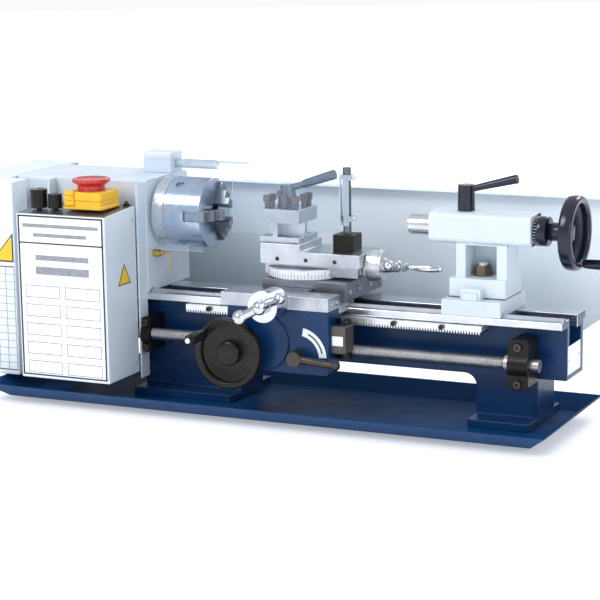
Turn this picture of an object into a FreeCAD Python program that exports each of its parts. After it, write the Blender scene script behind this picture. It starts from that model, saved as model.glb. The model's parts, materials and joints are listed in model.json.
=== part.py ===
import FreeCAD, Part
import math
import os
import Sketcher

# Bench metal lathe, 180 mm swing over the bed by 350 mm between centres.
# Row frame: origin on the bench plane at the centre of the four bench bolts,
# +X from headstock to tailstock, +Y away from the operator, +Z up, millimetres.
# Every piece is drawn about the spindle datum (x = 0 at the chuck's front face,
# y = z = 0 on the spindle axis) and its Placement moves it to the row frame.

V = FreeCAD.Vector
doc = FreeCAD.newDocument("bench_lathe")
sheet = doc.addObject("Spreadsheet::Sheet", "dims")

DIMENSIONS = {
    # datum and bench
    "spindle_height": 215, "datum_x": -162, "pad_height": 5, "slide_gap": 0.15, "run_gap": 0.05,
    "bolt_left": -38, "bolt_right": 362, "bolt_half": 40, "bolt_hole": 3.3, "pad_radius": 14,
    # chip tray
    "tray_left": -217.7, "tray_right": 416.4, "tray_front": -106.4, "tray_rear": 54.5,
    "tray_flare": 22.9, "tray_rise": 17.3, "tray_sheet": 1.5,
    # bed
    "bed_left": -82, "bed_right": 429, "way_half": 41, "way_top": -90, "way_thick": 8.5,
    "gap_front": -15.6, "gap_rear": 12.6, "vee_centre": -31, "vee_half": 5, "vee_height": 4,
    "wall_front": -24, "wall_rear": 33, "wall_thick": 8.4, "wall_bottom": -156, "web_top": -128,
    "foot_left_end": 42, "foot_right_start": 327, "foot_right_end": 397, "arch_radius": 14,
    "flange_half": 53, "flange_thick": 9,
    # rack and fasteners
    "rack_left": -15, "rack_right": 341, "rack_top": -99, "rack_height": 9, "rack_depth": 8,
    "rack_module": 1, "rack_tooth": 3.2, "screw_head": 4.2,
    # headstock
    "head_left": -238, "head_right": -66.3, "head_front": -41, "head_rear": 60, "head_top": 40,
    "head_wall": 15, "bearing_outer": 26, "bearing_width": 15,
    # gear cover
    "cover_left": -300, "cover_right": -214, "cover_front": -90, "cover_rear": 100,
    "cover_bottom": -190, "cover_top": 38, "cover_wall": 3,
    # control box
    "box_left": -185.8, "box_right": -71, "box_front": -127.2, "box_rear": -58.6,
    "box_bottom": -180, "box_top_front": 8.6, "box_top_rear": 13.1, "box_sheet": 1.5,
    "bracket_right": -67.5, "bracket_sheet": 2.5, "bracket_bottom": -187,
    # spindle and chuck
    "spindle_radius": 15, "spindle_bore": 10, "spindle_end": -278, "flange_back": -60.7,
    "chuck_back": -46, "chuck_radius": 40, "chuck_bore": 8, "jaw_width": 11.6, "jaw_depth": 20,
    "jaw_inner": 9, "jaw_outer": 36, "jaw_reach": 18, "scroll_outer": 32, "scroll_inner": 12,
    # change gears, module 1
    "gear_plane_one": -252, "gear_plane_two": -262, "gear_width": 8, "gear_module": 1,
    "stud_y": -14, "stud_z": -48, "stud_pin": 5, "pulley_radius": 28, "pulley_width": 13,
    # leadscrew
    "lead_y": -50, "lead_z": -135.5, "lead_radius": 7, "lead_right": 407.6,
    "lead_bracket_left": -66.4, "lead_bracket_right": 375, "lead_bracket_width": 23,
    # motor
    "motor_y": 80, "motor_z": -135, "motor_radius": 36, "motor_left": -205, "motor_right": -85,
    "motor_pulley": 12, "belt_thick": 1.8, "belt_width": 10,
    # splash guard
    "guard_left": -250, "guard_right": 440, "guard_y": 119.6, "guard_top": 21.9,
    "guard_bottom": -150, "guard_sheet": 1.2, "guard_lip": 16, "guard_cut_x": 377, "guard_cut_z": -104,
    # chuck guard
    "hood_left": -56, "hood_right": 26, "hood_rear": 28, "hood_rear_z": 59, "hood_crest": -60,
    "hood_crest_z": 69, "hood_front": -81, "hood_front_z": 51, "hood_bottom": -31,
    "hood_sheet": 3, "hinge_y": 36, "hinge_z": 50,
    # knobs and emergency stop
    "speed_x": -168, "speed_y": -106, "speed_radius": 9.7, "dir_x": -148.5, "dir_y": -103,
    "dir_radius": 8, "knob_base": 13, "stop_left": -134, "stop_right": -85, "stop_front": -110,
    "stop_rear": -66, "stop_base": 13.5, "stop_seam": 23, "stop_top": 33, "stop_skirt": 1.5,
    "mushroom": 21.5, "stop_neck": 15.5, "stop_stroke": 4,
    # carriage
    "saddle_left": 52, "saddle_right": 181.8, "saddle_front": -90, "saddle_rear": 60,
    "saddle_bar_rear": -60, "saddle_top": -72, "wing_top": -85.3, "apron_top": -87,
    "apron_left": 60, "boss_x": 103, "boss_z": -124,
    "apron_rear": -60.5, "apron_bottom": -157.7, "ridge_left": 96, "ridge_right": 142,
    "ridge_undercut": 4, "boss_radius": 32, "collar_radius": 16.5,
    "wheel_x": 71, "wheel_z": -136, "wheel_radius": 40, "wheel_front": -116,
    "grip_length": 46,
    "lever_x": 146.4, "lever_z": -138.4, "lever_length": 57, "nut_left": 130, "nut_right": 160,
    "nut_open": 4, "dial_right": 199, "dial_y": -66, "dial_top": -103,
    # cross slide
    "cross_left": 79, "cross_right": 181, "cross_front": -40, "cross_rear": 62,
    "cross_top": -64, "cross_screw_x": 118.6, "cross_screw_z": -79, "dial_front": -112,
    "crank_throw": 27, "crank_tilt": 27,
    # compound slide
    "swivel_x": 117, "swivel_radius": 44, "swivel_height": 13, "base_left": 75, "base_right": 188.5,
    "base_half": 24, "top_left": 72, "top_right": 193, "top_half": 30, "top_bottom": -48.7,
    "top_deck": -34, "platform_right": 121, "platform_top": -26, "top_screw_z": -48.5,
    "dove_half": 13, "dove_undercut": 3, "dove_height": 6,
    # tool post and chip shield
    "post_x": 93, "post_y": 1, "post_half": 24.5, "post_flange": 6.5, "post_slot_top": -4,
    "post_top": 11.5, "slot_depth": 16, "slot_start": -2, "shield_left": 50, "shield_y": -50,
    "shield_fold": 137, "shield_bottom": -12, "shield_top": 56, "shield_sheet": 3,
    "stand_x": 166, "stand_radius": 4.6, "stand_top": 59, "stand_block": -15,
    # tailstock
    "tail_left": 293, "tail_right": 360, "tail_base_top": -73, "tail_foot_top": -52,
    "barrel_left": 270, "barrel_right": 386, "barrel_half": 20, "barrel_low": -16, "barrel_top": 18,
    "column_left": 302, "column_rear": 20, "pocket_left": 313, "pocket_right": 348,
    "quill_radius": 11, "quill_tip": 242, "quill_end": 372, "tail_wheel_x": 436,
    "lock_x": 306.5,
}


class Size:
    """A number of the sheet, or a sum of them, kept with the expression that gives it."""

    def __init__(self, text, value):
        self.text, self.value = text, value

    def _join(self, sign, other, value):
        return Size("(%s %s %s)" % (self.text, sign, size(other).text), value)

    def __add__(self, other):
        return self._join("+", other, self.value + size(other).value)

    def __sub__(self, other):
        return self._join("-", other, self.value - size(other).value)

    def __mul__(self, other):
        return self._join("*", other, self.value * size(other).value)

    def __truediv__(self, other):
        return self._join("/", other, self.value / size(other).value)

    def __neg__(self):
        return Size("(0 - %s)" % self.text, -self.value)

    __radd__ = __add__
    __rmul__ = __mul__

    def __rsub__(self, other):
        return size(other) - self


def size(number):
    return number if isinstance(number, Size) else Size(repr(float(number)), float(number))


class Dims:
    """The sheet's cells by name."""


d = Dims()
for row, (alias, number) in enumerate(DIMENSIONS.items(), start=1):
    cell = "A%d" % row
    sheet.set(cell, str(number))
    sheet.setAlias(cell, alias)
    setattr(d, alias, Size("dims." + alias, float(number)))
doc.recompute()

TURNS = {
    "z": FreeCAD.Rotation(),
    "-z": FreeCAD.Rotation(V(1, 0, 0), 180),
    "x": FreeCAD.Rotation(V(0, 1, 0), 90),
    "-x": FreeCAD.Rotation(V(0, 1, 0), -90),
    "y": FreeCAD.Rotation(V(1, 0, 0), -90),
    "-y": FreeCAD.Rotation(V(1, 0, 0), 90),
}
nodes = []
counter = {}


def add(kind, name):
    counter[name] = counter.get(name, 0) + 1
    return doc.addObject(kind, "%s_%d" % (name, counter[name]))


def bind(obj, prop, number):
    setattr(obj, prop, size(number).value)
    obj.setExpression(prop, size(number).text)


def place(obj, at, turn):
    obj.Placement = FreeCAD.Placement(V(*[size(a).value for a in at]), turn)
    for axis, a in zip("xyz", at):
        obj.setExpression(".Placement.Base." + axis, size(a).text)
    obj.recompute()
    return obj


def slab(name, x, y, z):
    """Box between two planes on each axis."""
    box = add("Part::Box", name)
    for prop, (low, high) in zip(("Length", "Width", "Height"), (x, y, z)):
        bind(box, prop, size(high) - low)
    return place(box, (x[0], y[0], z[0]), TURNS["z"])


def rod(name, radius, at, axis, length):
    cylinder = add("Part::Cylinder", name)
    bind(cylinder, "Radius", radius)
    bind(cylinder, "Height", length)
    return place(cylinder, at, TURNS[axis] if isinstance(axis, str) else axis)


def taper(name, radius_a, radius_b, at, axis, length):
    cone = add("Part::Cone", name)
    bind(cone, "Radius1", radius_a)
    bind(cone, "Radius2", radius_b)
    bind(cone, "Height", length)
    return place(cone, at, TURNS[axis] if isinstance(axis, str) else axis)


def ball(name, radius, at, turn=TURNS["z"]):
    sphere = add("Part::Sphere", name)
    bind(sphere, "Radius", radius)
    return place(sphere, at, turn)


def fuse(name, *parts):
    joined = add("Part::MultiFuse", name)
    joined.Shapes = list(parts)
    joined.Refine = True
    joined.recompute()
    return joined


def cut(name, base, *tools):
    result = add("Part::Cut", name)
    result.Base = base
    result.Tool = tools[0] if len(tools) == 1 else fuse(name + "_tools", *tools)
    result.Refine = True
    result.recompute()
    return result


def group(name, *parts):
    """Identical fasteners that share one node, each still its own solid."""
    gathered = add("Part::Compound", name)
    gathered.Links = list(parts)
    gathered.recompute()
    return gathered


def rounded(name, base, radius, chosen):
    """Rounds the base's edges that the chosen test accepts, by their middle and direction."""
    fillet = add("Part::Fillet", name)
    fillet.Base = base
    edges = []
    for number, edge in enumerate(base.Shape.Edges, start=1):
        run = edge.valueAt(edge.LastParameter) - edge.valueAt(edge.FirstParameter)
        if edge.Curve.TypeId == "Part::GeomLine" and chosen(edge.CenterOfMass, run.normalize()):
            edges.append((number, radius, radius))
    fillet.Edges = edges
    fillet.recompute()
    return fillet


def origin_plane(body, role):
    return [f for f in body.Origin.OriginFeatures if f.Role == role][0]


def profile(body, name, role, corners):
    """Closed outline on one of the body's origin planes, each corner held by two dimensions."""
    sketch = body.newObject("Sketcher::SketchObject", name)
    sketch.AttachmentSupport = [(origin_plane(body, role), "")]
    sketch.MapMode = "FlatFace"
    points = [V(size(u).value, size(v).value, 0) for u, v in corners]
    for start, end in zip(points, points[1:] + points[:1]):
        sketch.addGeometry(Part.LineSegment(start, end), False)
    for index, (u, v) in enumerate(corners):
        following = (index + 1) % len(corners)
        sketch.addConstraint(Sketcher.Constraint("Coincident", index, 2, following, 1))
        for kind, number in (("DistanceX", u), ("DistanceY", v)):
            held = Sketcher.Constraint(kind, -1, 1, index, 1, size(number).value)
            place_in_list = sketch.addConstraint(held)
            sketch.setExpression("Constraints[%d]" % place_in_list, size(number).text)
    sketch.recompute()
    return sketch


def padded(label, role, corners, length, at, turn=TURNS["z"]):
    """PartDesign body: one outline, padded, with the body placed in the datum frame."""
    body = add("PartDesign::Body", label)
    sketch = profile(body, label + "_outline", role, corners)
    pad = body.newObject("PartDesign::Pad", label + "_pad")
    pad.Profile = sketch
    bind(pad, "Length", length)
    pad.recompute()
    sketch.Visibility = False
    place(body, at, turn)
    return body


def prism_x(label, corners, x_low, x_high):
    """Body of constant (y, z) section from x_low to x_high."""
    # The YZ plane's sketch axes are y and z, and its pad runs along +X.
    return padded(label, "YZ_Plane", corners, size(x_high) - x_low, (x_low, 0, 0))


def prism_y(label, corners, y_low, y_high):
    """Body of constant (x, z) section from y_low to y_high."""
    # The XZ plane's pad runs along -Y, so the body starts at the far side.
    return padded(label, "XZ_Plane", corners, size(y_high) - y_low, (0, y_high, 0))


def prism_z(label, corners, z_low, z_high):
    """Body of constant (x, y) section from z_low to z_high."""
    return padded(label, "XY_Plane", corners, size(z_high) - z_low, (0, 0, z_low))


def turned(label, corners, at, turn):
    """PartDesign body of revolution: (radius, height) outline turned about the body's own Z."""
    body = add("PartDesign::Body", label)
    sketch = profile(body, label + "_outline", "XZ_Plane", corners)
    spin = body.newObject("PartDesign::Revolution", label + "_revolution")
    spin.Profile = sketch
    spin.ReferenceAxis = (sketch, ["V_Axis"])
    spin.Angle = 360
    spin.recompute()
    sketch.Visibility = False
    return place(body, at, TURNS.get(turn, turn))


def plain(name, shape):
    """Shape made with Part's own functions; the compound keeps any turn it was given."""
    feature = add("Part::Feature", name)
    feature.Shape = Part.makeCompound([shape])
    return feature


def node(label, obj):
    """Names a finished piece and moves it from the spindle datum to the row frame."""
    wrapper = add("Part::Compound", label) if hasattr(obj, "Origin") or obj.Placement.Base.Length else obj
    if wrapper is not obj:
        wrapper.Links = [obj]
        wrapper.recompute()
    place(wrapper, (d.datum_x, 0, d.spindle_height), TURNS["z"])
    wrapper.Label = label
    nodes.append(wrapper)


# ---------------------------------------------------------------- bench, tray and bed

def bolt_places():
    return [(x, y) for x in (d.bolt_left, d.bolt_right) for y in (-d.bolt_half, d.bolt_half)]


def bolt_holes(name, low, high):
    return [rod(name, d.bolt_hole, (x, y, low), "z", size(high) - low) for x, y in bolt_places()]


ground = -d.spindle_height
tray_under = ground + d.pad_height
tray_floor = tray_under + d.tray_sheet
bench_zone = (ground - 5, d.wall_bottom)


def rubber_feet():
    pads = []
    for x, y in bolt_places():
        pad = taper("pad", d.pad_radius - 2, d.pad_radius, (x, y, ground), "z", d.pad_height)
        pads.append(cut("foot", pad, rod("pad_hole", d.bolt_hole, (x, y, ground - 1), "z", 20)))
    node("rubber_feet", group("feet", *pads))


def tray_solid(name, inset, low, rise):
    """Flared tub: a rectangle on the tray's floor padded outwards to its rim."""
    left, right = d.tray_left + inset, d.tray_right - inset
    front, rear = d.tray_front + inset, d.tray_rear - inset
    corners = [(left, front), (right, front), (right, rear), (left, rear)]
    body = padded(name, "XY_Plane", corners, rise, (0, 0, low))
    pad = body.Tip
    pad.TaperAngle = math.degrees(math.atan2(DIMENSIONS["tray_flare"], DIMENSIONS["tray_rise"]))
    pad.recompute()
    body.recompute()
    return body


def chip_tray():
    outer = tray_solid("tray_outer", 0, tray_under, d.tray_rise)
    inner = tray_solid("tray_inner", d.tray_sheet / 2, tray_floor, d.tray_rise)
    node("chip_tray", cut("tray", outer, inner, *bolt_holes("tray_hole", ground, -190)))


def bed():
    top, edge = d.way_top, d.way_top - d.way_thick
    vee = [(d.vee_centre - d.vee_half, top), (d.vee_centre, top + d.vee_height),
           (d.vee_centre + d.vee_half, top)]
    front = prism_x("front_rail", [
        (-d.way_half, edge), (-d.way_half, top), *vee, (d.gap_front, top), (d.gap_front, d.wall_bottom),
        (d.wall_front, d.wall_bottom), (d.wall_front, edge)], d.bed_left, d.bed_right)
    inner_rear = d.wall_rear - d.wall_thick
    rear = prism_x("rear_rail", [
        (d.gap_rear, edge - 6), (d.gap_rear, top), (d.way_half, top), (d.way_half, edge),
        (d.wall_rear, edge), (d.wall_rear, d.wall_bottom), (inner_rear, d.wall_bottom),
        (inner_rear, edge - 6)], d.bed_left, d.bed_right)
    span = (d.gap_front - 1, inner_rear + 1)
    webs = [slab("web", (x, x + 10), span, (d.wall_bottom, d.web_top))
            for x in (d.bed_left, size(60), size(185), size(300), d.bed_right - 10)]
    foot_bottom = tray_floor
    feet = []
    for left, right in ((d.bed_left, d.foot_left_end), (d.foot_right_start, d.foot_right_end)):
        legs = (d.wall_front, d.wall_rear)
        leg = slab("leg", (left, right), legs, (foot_bottom, d.wall_bottom + 1))
        flange = slab("flange", (left, right), (-d.flange_half, d.flange_half),
                      (foot_bottom, foot_bottom + d.flange_thick))
        hollow = slab("leg_hollow", (left + 9, right - 9), (d.wall_front + 9, d.wall_rear - 9),
                      (foot_bottom - 1, d.wall_bottom + 1))
        feet.append(cut("foot_casting", fuse("foot_block", leg, flange), hollow))
    arches = []
    for x, side in ((d.foot_left_end, 1), (d.foot_right_start, -1)):
        low = d.wall_bottom - d.arch_radius
        block_x = (x, x + d.arch_radius) if side > 0 else (x - d.arch_radius, x)
        block = slab("arch_block", block_x, (d.wall_front, d.wall_rear), (low, d.wall_bottom + 1))
        round_x = x + side * d.arch_radius
        bore = rod("arch_round", d.arch_radius, (round_x, d.wall_front - 1, low), "y", 80)
        gap = slab("arch_gap", (x - 40, x + 40), (d.wall_front + 9, d.wall_rear - 9),
                   (low - 1, d.wall_bottom))
        arches.append(cut("arch", block, bore, gap))
    casting = fuse("bed_casting", front, rear, *webs, *feet, *arches)
    node("bed", cut("bed_drilled", casting, *bolt_holes("bed_hole", ground, ground + 40)))


def rack():
    """Toothed bar under the front way, teeth facing down."""
    front, rear, low = 2 - d.way_half - d.rack_depth, d.wall_front - 0.05, d.rack_top - d.rack_height
    bar = slab("rack_bar", (d.rack_left, d.rack_right), (front, rear), (low + d.rack_tooth, d.rack_top))
    pitch = math.pi * DIMENSIONS["rack_module"]
    left, y, tip = size(d.rack_left).value, size(front).value, size(low).value
    root, depth = tip + DIMENSIONS["rack_tooth"] + 0.1, size(rear - front).value
    count = int(size(d.rack_right - d.rack_left).value / pitch)
    root_half, tip_half = 1.3, 0.5
    teeth = []
    for index in range(count):
        x = left + (index + 0.5) * pitch
        outline = [V(x - root_half, y, root), V(x + root_half, y, root), V(x + tip_half, y, tip),
                   V(x - tip_half, y, tip)]
        teeth.append(Part.Face(Part.makePolygon(outline + outline[:1])).extrude(V(0, depth, 0)))
    node("rack", plain("rack_toothed", bar.Shape.multiFuse(teeth)))


def socket_screw(name, at, axis, radius, reach=3.5):
    """Cap screw seen from its head: a cylinder with a hexagon socket, its shank behind."""
    head = rod(name, radius, at, axis, reach)
    x, y, z = [size(a).value for a in at]
    direction = TURNS[axis].multVec(V(0, 0, 1))
    start = V(x, y, z) + direction * (reach - 2.4)
    hexagon = Part.makePolygon([start + TURNS[axis].multVec(
        V(1.8 * math.cos(math.radians(60 * k)), 1.8 * math.sin(math.radians(60 * k)),
          0)) for k in range(7)])
    socket = plain(name + "_socket", Part.Face(hexagon).extrude(direction * 4))
    return cut(name + "_cap", head, socket)


def frame_screws():
    right = d.lead_bracket_right + d.lead_bracket_width / 2
    left = d.lead_bracket_left + 5.5
    face = d.lead_y - 10
    held = [socket_screw("bracket_screw", (x, face, z), "-y", d.screw_head)
            for x, z in ((right, -115), (right, -155), (left, -121), (left, -150))]
    rack_face = 2 - d.way_half - d.rack_depth
    held += [socket_screw("rack_screw", (x, rack_face, -102.2), "-y", 3) for x in (15, 240.5, 296)]
    node("frame_screws", group("screws", *held))


# ---------------------------------------------------------------- headstock and its drive

def headstock():
    outer = slab("head_outer", (d.head_left, d.head_right), (d.head_front, d.head_rear),
                 (d.way_top, d.head_top))
    outer = rounded("head_round", outer, 6, lambda c, run: abs(run.x) > 0.9 and c.z > 0)
    wall = d.head_wall
    hollow = slab("head_hollow", (d.head_left + wall, d.head_right - wall),
                  (d.head_front + 10, d.head_rear - 10),
                  (d.way_top + 10, d.head_top - 10))
    bore = rod("bearing_bore", d.bearing_outer + 0.02, (d.head_left - 1, 0, 0), "x", 200)
    vee = prism_x("head_vee", vee_groove(), d.bed_left - 1, d.head_right + 1)
    casting = cut("head_casting", outer, hollow, bore, vee)
    studs = [rod("stud", d.stud_pin, (d.head_left + 1, d.stud_y, d.stud_z), "-x", 27)]
    y, z = idler_axis()
    boss = slab("idler_boss", (d.head_left, d.head_left + 14), (y - 12, y + 12), (z - 14, d.way_top + 1))
    studs.append(rod("idler_stud", d.stud_pin, (d.head_left + 1, y, z), "-x", 27))
    node("headstock", fuse("head_complete", casting, boss, *studs))


def vee_groove():
    """Outline of the groove that straddles the front way's ridge, with running clearance."""
    half, gap = d.vee_half + 1, d.slide_gap
    top = d.way_top + d.vee_height + 1
    return [(d.vee_centre - half, d.way_top - 1), (d.vee_centre - half, d.way_top + 0.2),
            (d.vee_centre, top + gap), (d.vee_centre + half, d.way_top + 0.2), (d.vee_centre + half,
                    d.way_top - 1)]


def spindle_bearings():
    rings = []
    for x in (d.head_left, d.head_right - d.bearing_width):
        ring = rod("race", d.bearing_outer, (x, 0, 0), "x", d.bearing_width)
        rings.append(cut("bearing", ring, rod("race_bore", d.spindle_radius + d.run_gap, (x - 1, 0, 0), "x",
                                              40)))
    node("spindle_bearings", group("bearings", *rings))


def spindle():
    shaft = rod("spindle_shaft", d.spindle_radius, (d.spindle_end, 0, 0), "x",
                d.flange_back - d.spindle_end)
    flange = rod("spindle_flange", d.chuck_radius - 0.4, (d.flange_back, 0, 0), "x",
                 d.chuck_back - 0.2 - d.flange_back)
    bore = rod("spindle_through", d.spindle_bore, (d.spindle_end - 1, 0, 0), "x", 260)
    node("spindle", cut("spindle_bored", fuse("spindle_solid", shaft, flange), bore))


def chuck_body():
    body = rod("chuck_round", d.chuck_radius, (d.chuck_back, 0, 0), "x", -d.chuck_back)
    bore = rod("chuck_through", d.chuck_bore, (d.chuck_back - 1, 0, 0), "x", 60)
    hollow = cut("scroll_room",
                 rod("scroll_outside", d.scroll_outer + 0.6, (d.chuck_back - 1, 0, 0), "x", 26.5),
                 rod("scroll_inside", d.scroll_inner - 0.6, (d.chuck_back - 2, 0, 0), "x", 30))
    slots, sockets = [], []
    for angle in (180, 60, -60):
        turn = FreeCAD.Rotation(V(1, 0, 0), angle)
        half = DIMENSIONS["jaw_width"] / 2 + 0.2
        slot = Part.makeBox(30, 40, 2 * half, V(-DIMENSIONS["jaw_depth"] - 0.5, 5, -half))
        slot.rotate(V(0, 0, 0), V(1, 0, 0), angle)
        slots.append(plain("jaw_slot", slot))
        key = turn.multVec(V(0, -DIMENSIONS["chuck_radius"] - 1, 0))
        inward = FreeCAD.Rotation(V(0, 0, 1), -key)
        sockets.append(rod("key_socket", 5, (key.x - 33, key.y, key.z), inward, 7))
    node("chuck_body", cut("chuck_machined", body, bore, hollow, *slots, *sockets))


def chuck_scroll():
    disc = rod("scroll_disc", d.scroll_outer, (d.chuck_back + 2, 0, 0), "x", 20)
    node("chuck_scroll", cut("scroll", disc, rod("scroll_bore", d.scroll_inner, (d.chuck_back, 0, 0), "x",
                                                 30)))


def chuck_jaws():
    """Three stepped jaws; each is drawn along +Y and turned to its slot."""
    inner, outer, reach = DIMENSIONS["jaw_inner"], DIMENSIONS["jaw_outer"], DIMENSIONS["jaw_reach"]
    half, depth = DIMENSIONS["jaw_width"] / 2, DIMENSIONS["jaw_depth"] - 0.3
    steps = [(inner, reach), (inner + 8, reach), (inner + 8, reach - 6), (inner + 17, reach - 6),
             (inner + 17, reach - 13), (outer, reach - 13), (outer, -depth), (inner, -depth)]
    outline = [V(x, y, -half) for y, x in steps]
    solid = Part.Face(Part.makePolygon(outline + outline[:1])).extrude(V(0, 0, 2 * half))
    for number, angle in enumerate((180, 60, -60), start=1):
        jaw = solid.copy()
        jaw.rotate(V(0, 0, 0), V(1, 0, 0), angle)
        node("chuck_jaw_%d" % number, plain("jaw", jaw))


def gear_shape(teeth, width, bore):
    """Spur gear along +X: trapezoid teeth on the pitch circle, with backlash, tooth 0 on +Y."""
    module = DIMENSIONS["gear_module"]
    pitch_radius = teeth * module / 2
    points = []
    for tooth in range(teeth):
        middle = 2 * math.pi * tooth / teeth
        for radius, half in ((pitch_radius - 1.25 * module, 0.32), (pitch_radius + 0.9 * module, 0.12)):
            points.append((radius, middle - half * 2 * math.pi / teeth))
        for radius, half in ((pitch_radius + 0.9 * module, 0.12), (pitch_radius - 1.25 * module, 0.32)):
            points.append((radius, middle + half * 2 * math.pi / teeth))
    outline = [V(0, r * math.cos(a), r * math.sin(a)) for r, a in points]
    wheel = Part.Face(Part.makePolygon(outline + outline[:1])).extrude(V(width, 0, 0))
    return wheel.cut(Part.makeCylinder(bore, width + 2, V(-1, 0, 0), V(1, 0, 0)))


def idler_axis():
    """Where the idler meshes with the stud's small gear (30 teeth) and the leadscrew gear (60)."""
    from_y, from_z = DIMENSIONS["stud_y"], DIMENSIONS["stud_z"]
    run_y, run_z = DIMENSIONS["lead_y"] - from_y, DIMENSIONS["lead_z"] - from_z
    span = math.hypot(run_y, run_z)
    near, far = 40.0, 55.0
    along = (near ** 2 - far ** 2 + span ** 2) / (2 * span)
    aside = math.sqrt(near ** 2 - along ** 2)
    return (from_y + (run_y * along - run_z * aside) / span,
            from_z + (run_z * along + run_y * aside) / span)


def meshed(turn_of_driver, driver_teeth, teeth, direction):
    """Rest turn, in degrees, that puts a gap of this gear opposite the driver's tooth."""
    tooth_phase = (direction - turn_of_driver) * driver_teeth / 360.0
    return direction + 180 - (0.5 - tooth_phase) * 360.0 / teeth


def placed_gear(teeth, x, y, z, turn, bore):
    wheel = gear_shape(teeth, DIMENSIONS["gear_width"], bore)
    wheel.rotate(V(0, 0, 0), V(1, 0, 0), turn)
    wheel.translate(V(x, y, z))
    return wheel


def heading(from_y, from_z, to_y, to_z):
    return math.degrees(math.atan2(to_z - from_z, to_y - from_y))


def change_gears():
    one, two = DIMENSIONS["gear_plane_one"], DIMENSIONS["gear_plane_two"]
    stud_y, stud_z = DIMENSIONS["stud_y"], DIMENSIONS["stud_z"]
    idler_y, idler_z = idler_axis()
    lead_y, lead_z = DIMENSIONS["lead_y"], DIMENSIONS["lead_z"]
    shaft, pin = DIMENSIONS["spindle_radius"] + 0.03, DIMENSIONS["stud_pin"] + DIMENSIONS["run_gap"]

    pulley = Part.makeCylinder(DIMENSIONS["pulley_radius"], DIMENSIONS["pulley_width"],
                               V(one - 24, 0, 0), V(1, 0, 0))
    neck = Part.makeCylinder(18, 14, V(one - 12, 0, 0), V(1, 0, 0))
    through = Part.makeCylinder(shaft, 60, V(one - 30, 0, 0), V(1, 0, 0))
    driver = placed_gear(40, one, 0, 0, 0, shaft)
    node("spindle_pulley", plain("pulley", driver.fuse([pulley, neck]).cut(through)))

    to_stud = heading(0, 0, stud_y, stud_z)
    stud_turn = meshed(0, 40, 60, to_stud)
    large = placed_gear(60, one, stud_y, stud_z, stud_turn, pin)
    small = placed_gear(30, two, stud_y, stud_z, stud_turn, pin)
    hub = Part.makeCylinder(11, 4, V(two + 7, stud_y, stud_z), V(1, 0, 0))
    hub = hub.cut(Part.makeCylinder(pin, 6, V(two + 6, stud_y, stud_z), V(1, 0, 0)))
    node("stud_gear", plain("stud_pair", large.fuse([small, hub])))

    to_idler = heading(stud_y, stud_z, idler_y, idler_z)
    idler_turn = meshed(stud_turn, 30, 50, to_idler)
    node("idler_gear", plain("idler", placed_gear(50, two, idler_y, idler_z, idler_turn, pin)))

    to_lead = heading(idler_y, idler_z, lead_y, lead_z)
    lead_turn = meshed(idler_turn, 50, 60, to_lead)
    screw = Part.makeCylinder(DIMENSIONS["lead_radius"], DIMENSIONS["lead_right"] - two + 6,
                              V(two - 6, lead_y, lead_z), V(1, 0, 0))
    wheel = placed_gear(60, two, lead_y, lead_z, lead_turn, 6)
    collar = Part.makeCylinder(10, 4, V(DIMENSIONS["lead_bracket_right"] - 5, lead_y, lead_z), V(1, 0, 0))
    node("leadscrew", plain("leadscrew_gear", screw.fuse([wheel, collar])))


def drive_pulley():
    x = d.gear_plane_one - 24
    wheel = rod("motor_wheel", d.motor_pulley, (x, d.motor_y, d.motor_z), "x", d.pulley_width)
    shaft = rod("motor_shaft", 5, (x - 2, d.motor_y, d.motor_z), "x", d.motor_left - 1 - x + 8)
    node("motor_pulley", fuse("motor_drive", wheel, shaft))


def belt_loop(name, slack):
    """Stadium round both pulleys: a big circle, a small one, and their common tangents."""
    big, small = DIMENSIONS["pulley_radius"] + slack, DIMENSIONS["motor_pulley"] + slack
    y, z = DIMENSIONS["motor_y"], DIMENSIONS["motor_z"]
    width = DIMENSIONS["belt_width"]
    x = DIMENSIONS["gear_plane_one"] - 23
    span, aim = math.hypot(y, z), math.atan2(z, y)
    lean = math.acos((big - small) / span)
    corners = [V(x, big * math.cos(aim + lean), big * math.sin(aim + lean)),
               V(x, y + small * math.cos(aim + lean), z + small * math.sin(aim + lean)),
               V(x, y + small * math.cos(aim - lean), z + small * math.sin(aim - lean)),
               V(x, big * math.cos(aim - lean), big * math.sin(aim - lean))]
    web = Part.Face(Part.makePolygon(corners + corners[:1])).extrude(V(width, 0, 0))
    rounds = [Part.makeCylinder(big, width, V(x, 0, 0), V(1, 0, 0)),
              Part.makeCylinder(small, width, V(x, y, z), V(1, 0, 0))]
    return plain(name, web.fuse(rounds).removeSplitter())


def drive_belt():
    outside = belt_loop("belt_outside", 0.3 + DIMENSIONS["belt_thick"])
    node("drive_belt", cut("belt", outside, belt_loop("belt_inside", 0.3)))


def motor():
    can = rod("motor_can", d.motor_radius, (d.motor_left, d.motor_y, d.motor_z), "x",
              d.motor_right - d.motor_left)
    saddle = slab("motor_mount", (-185, -115), (5, 92), (-104, d.way_top - 0.1))
    neck = slab("motor_neck", (-180, -120), (62, 98), (-118, -100))
    shaft_hole = rod("motor_bore", 5 + d.run_gap, (d.motor_left - 1, d.motor_y, d.motor_z), "x", 20)
    node("motor", cut("motor_bored", fuse("motor_solid", can, saddle, neck), shaft_hole))


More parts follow.
